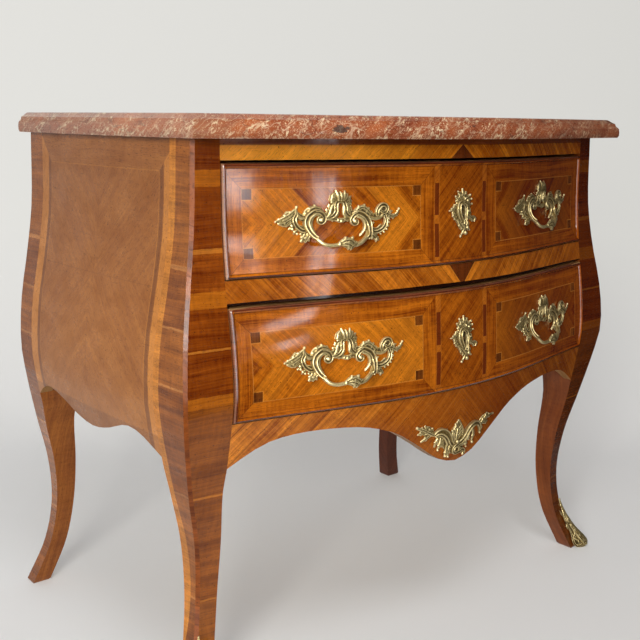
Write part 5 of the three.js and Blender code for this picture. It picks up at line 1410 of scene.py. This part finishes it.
SABOT = SABOT_SPINE + SABOT_HALF + mirrored(SABOT_HALF)
sabot_casting = cast("sabot", SABOT, SABOT_BEADS, voxel=0.6)
for side, sign in SIDES:
    leg_shape = bmesh.new()
    leg_shape.from_mesh(nodes[f"front_{side}_post"].data)
    leg = BVHTree.FromBMesh(leg_shape)
    leg_shape.free()

    def on_leg(around, up, out):
        """A point in metres that stands out from the leg, reached from the leg's core."""
        height = max(up, FLOOR_GAP)
        angle = math.pi / 4 + around / WRAP_RADIUS
        way = Vector((sign * math.cos(angle), -math.sin(angle), 0))
        core_x = sign * (POST_TOP_HALF_WIDTH + SIDE_SWELL * side_swell(height) - LEG_CORE_INSET)
        core_y = front_end(height) + LEG_CORE_INSET - DEPTH_MIDDLE
        hit = leg.ray_cast(Vector((core_x, core_y, height)) * MM, way)[0]
        return hit + way * out * MM

    laid(sabot_casting, f"{side}_sabot", on_leg)


# Camera, floor, backdrop and light, in metres

CAMERA_PLACE = Vector((-1.1655, -1.3208, 0.8415))
CAMERA_YAW = math.radians(40.378)
CAMERA_PITCH = math.radians(-11.372)
CAMERA_ROLL = math.radians(0.719)
CAMERA_LENS_MM = 55.6
CAMERA_SENSOR_MM = 36

# The cloth's finish goes by millimetres to the right across the view, and up
CLOTH_COLOUR = (0.85, 0.87, 0.89, 1)
CLOTH_NEAR = paint(228, 227, 222)
CLOTH_FAR = paint(212, 211, 206)
CLOTH_FADE = (200, 2400)
CLOTH_UPRIGHT = (260, 520)
UNLIT_CLOTH = paint(40, 34, 30)
UNLIT_END = (650, 500)
CLOTH_ROUGHNESS = 0.9


def cloth_finish():
    """A pale matt cloth, clear from behind, whose upright part is mostly a plain tone in view."""
    material, tree, shader = new_finish("studio_cloth")
    x, y, z = surface_place(tree)
    across = math.cos(CAMERA_YAW) * x - math.sin(CAMERA_YAW) * y
    shown = mixed(across.past(*CLOTH_FADE), CLOTH_NEAR, CLOTH_FAR)
    shader.inputs["Base Color"].default_value = CLOTH_COLOUR
    shader.inputs["Roughness"].default_value = CLOTH_ROUGHNESS
    rays = tree.nodes.new("ShaderNodeLightPath")
    camera_ray = Field(tree, rays.outputs["Is Camera Ray"])
    glossy_ray = Field(tree, rays.outputs["Is Glossy Ray"])
    mirrored_ray = glossy_ray.most(Field(tree, rays.outputs["Is Transmission Ray"]))
    unlit_end = across.past(*UNLIT_END)
    shown = mixed(mirrored_ray * unlit_end, shown, UNLIT_CLOTH)
    seen = camera_ray * (0.25 + 0.63 * z.past(*CLOTH_UPRIGHT))
    seen = seen.most(mirrored_ray * (0.4 + 0.6 * unlit_end))
    glow = tree.nodes.new("ShaderNodeEmission")
    feed(glow.inputs["Color"], shown)
    geometry = tree.nodes.new("ShaderNodeNewGeometry")
    from_behind = Field(tree, geometry.outputs["Backfacing"]) * camera_ray
    clear = tree.nodes.new("ShaderNodeBsdfTransparent")
    surface = shader
    for share, other in ((seen, glow), (from_behind, clear)):
        mix = tree.nodes.new("ShaderNodeMixShader")
        feed(mix.inputs[0], share)
        tree.links.new(surface.outputs[0], mix.inputs[1])
        tree.links.new(other.outputs[0], mix.inputs[2])
        surface = mix
    tree.links.new(surface.outputs[0], found(tree, "ShaderNodeOutputMaterial").inputs["Surface"])
    return material


def sweep(name, rows, half_width, finish):
    """A sheet of one profile, from rows of (distance, height), across the line of sight."""
    shape = bmesh.new()
    heading = Matrix.Rotation(-CAMERA_YAW, 3, "Z")
    corners = [shape.verts.new(heading @ Vector((-half_width, out, up))) for out, up in rows]
    edges = [shape.edges.new(pair) for pair in zip(corners, corners[1:])]
    pulled = bmesh.ops.extrude_edge_only(shape, edges=edges)["geom"]
    far = [item for item in pulled if isinstance(item, bmesh.types.BMVert)]
    bmesh.ops.translate(shape, verts=far, vec=heading @ Vector((2 * half_width, 0, 0)))
    for face in shape.faces:
        face.smooth = True
    bmesh.ops.recalc_face_normals(shape, faces=shape.faces)
    if sum(face.normal.z * face.calc_area() for face in shape.faces) < 0:
        bmesh.ops.reverse_faces(shape, faces=shape.faces)
    mesh = bpy.data.meshes.new(name)
    shape.to_mesh(mesh)
    shape.free()
    mesh.materials.append(finish)
    linked(name, mesh)


CLOTH_FRONT = -0.85
CLOTH_HALF_WIDTH = 1.5
COVE_RADIUS = 0.6
COVE_STEP_DEGREES = 6
BACKDROP_DISTANCE = 1.25
BACKDROP_HEIGHT = 4

cove = [(BACKDROP_DISTANCE - COVE_RADIUS + COVE_RADIUS * math.cos(math.radians(angle)),
         COVE_RADIUS - COVE_RADIUS * math.sin(math.radians(angle)))
        for angle in range(90, -1, -COVE_STEP_DEGREES)]
sweep("cloth", [(CLOTH_FRONT, 0), *cove, (BACKDROP_DISTANCE, BACKDROP_HEIGHT)],
      CLOTH_HALF_WIDTH, cloth_finish())


def add_lamp(name, place, aim, size, watts, colour=(1, 1, 1)):
    lamp = bpy.data.lights.new(name, "AREA")
    lamp.shape = "RECTANGLE"
    lamp.size, lamp.size_y = size
    lamp.energy = watts
    lamp.color = colour
    item = linked(name, lamp)
    item.location = place
    item.rotation_euler = (Vector(place) - Vector(aim)).to_track_quat("Z", "Y").to_euler()


add_lamp("key", place=(-3.0, -2.25, 1.4), aim=(0, 0, 0.45), size=(1.1, 0.9), watts=97,
         colour=(1, 0.96, 0.88))
add_lamp("overhead", place=(-0.8, -1.2, 2.6), aim=(0, 0, 0.4), size=(1.1, 0.9), watts=24)

# The room, by the direction of a ray: its sideways share of what it runs forwards, and its rise
ROOM_STRENGTH = 0.8
ROOM_TO_CAMERA = (0.76, 0.76, 0.74, 1)
FILL_WARM_SIDE = (0.1, 0.055, 0.04, 1)
FILL_LIT_SIDE = (0.55, 0.56, 0.58, 1)
ROOM_DARK = 0.03
WALL_GLOW, WINDOW_GLOW, BACK_GLOW, CAMERA_SIDE_GLOW, LIT_STRIP_GLOW = 0.06, 25.0, 0.55, 3.7, 5.0
LEFT_PANE, RIGHT_PANE = (0.214, 0.232, 0.006), (0.238, 0.256, 0.006)
LOW_PANES, HIGH_PANES = (-0.052, -0.028, 0.01), (0.016, 0.046, 0.01)
CAMERA_SIDE, CAMERA_SIDE_RISE = (-2.4, -0.5, 0.3), (-0.3, 0.45, 0.1)
LIT_STRIP, LIT_STRIP_RISE = (-1.65, -1.2, 0.05), (-0.3, 0.5, 0.05)

world = bpy.data.worlds.new("room")
world.use_nodes = True
bpy.context.scene.world = world
tree = world.node_tree
background = found(tree, "ShaderNodeBackground")
looking = tree.nodes.new("ShaderNodeTexCoord")
east, north, up = taken_apart(tree, looking.outputs["Generated"])
rays = tree.nodes.new("ShaderNodeLightPath")
mirrored_ray = Field(tree, rays.outputs["Is Glossy Ray"])
seen_ray = Field(tree, rays.outputs["Is Camera Ray"])
fill = mixed((0.65 * north - 0.75 * east).past(0.1, 0.9), FILL_WARM_SIDE, FILL_LIT_SIDE)
ahead_of_it = 1 - north.past(-0.1, 0.1)
sideways = east / north.least(-0.05).math("MULTIPLY", -1.0)
wall = (1 - sideways.past(0.3, 0.2)) * up.between(-0.2, 0.25, 0.12) * ahead_of_it
panes = sideways.between(*LEFT_PANE) + sideways.between(*RIGHT_PANE)
window = panes * (up.between(*LOW_PANES) + 0.6 * up.between(*HIGH_PANES)) * ahead_of_it
behind = (1 - east.past(-0.1, 0.3)) * north.past(0.0, 0.4)
by_camera = sideways.between(*CAMERA_SIDE) * up.between(*CAMERA_SIDE_RISE) * ahead_of_it
lit_strip = sideways.between(*LIT_STRIP) * up.between(*LIT_STRIP_RISE) * ahead_of_it
shine = (ROOM_DARK + WALL_GLOW * wall + WINDOW_GLOW * window + BACK_GLOW * behind
         + CAMERA_SIDE_GLOW * by_camera + LIT_STRIP_GLOW * lit_strip)
room = combined(tree, shine, shine, shine * 1.03)
feed(background.inputs["Color"], mixed(seen_ray, mixed(mirrored_ray, fill, room), ROOM_TO_CAMERA))
background.inputs["Strength"].default_value = ROOM_STRENGTH

camera_data = bpy.data.cameras.new("camera")
camera_data.lens = CAMERA_LENS_MM
camera_data.sensor_width = CAMERA_SENSOR_MM
camera = linked("camera", camera_data)
ahead = Vector((math.sin(CAMERA_YAW) * math.cos(CAMERA_PITCH),
                math.cos(CAMERA_YAW) * math.cos(CAMERA_PITCH), math.sin(CAMERA_PITCH)))
level = Vector((math.cos(CAMERA_YAW), -math.sin(CAMERA_YAW), 0))
upright = level.cross(ahead)
right = math.cos(CAMERA_ROLL) * level + math.sin(CAMERA_ROLL) * upright
top = math.cos(CAMERA_ROLL) * upright - math.sin(CAMERA_ROLL) * level
turn = Matrix((right, top, -ahead)).transposed().to_4x4()
camera.matrix_world = Matrix.Translation(CAMERA_PLACE) @ turn
bpy.context.scene.camera = camera
bpy.context.scene.view_settings.view_transform = "Standard"
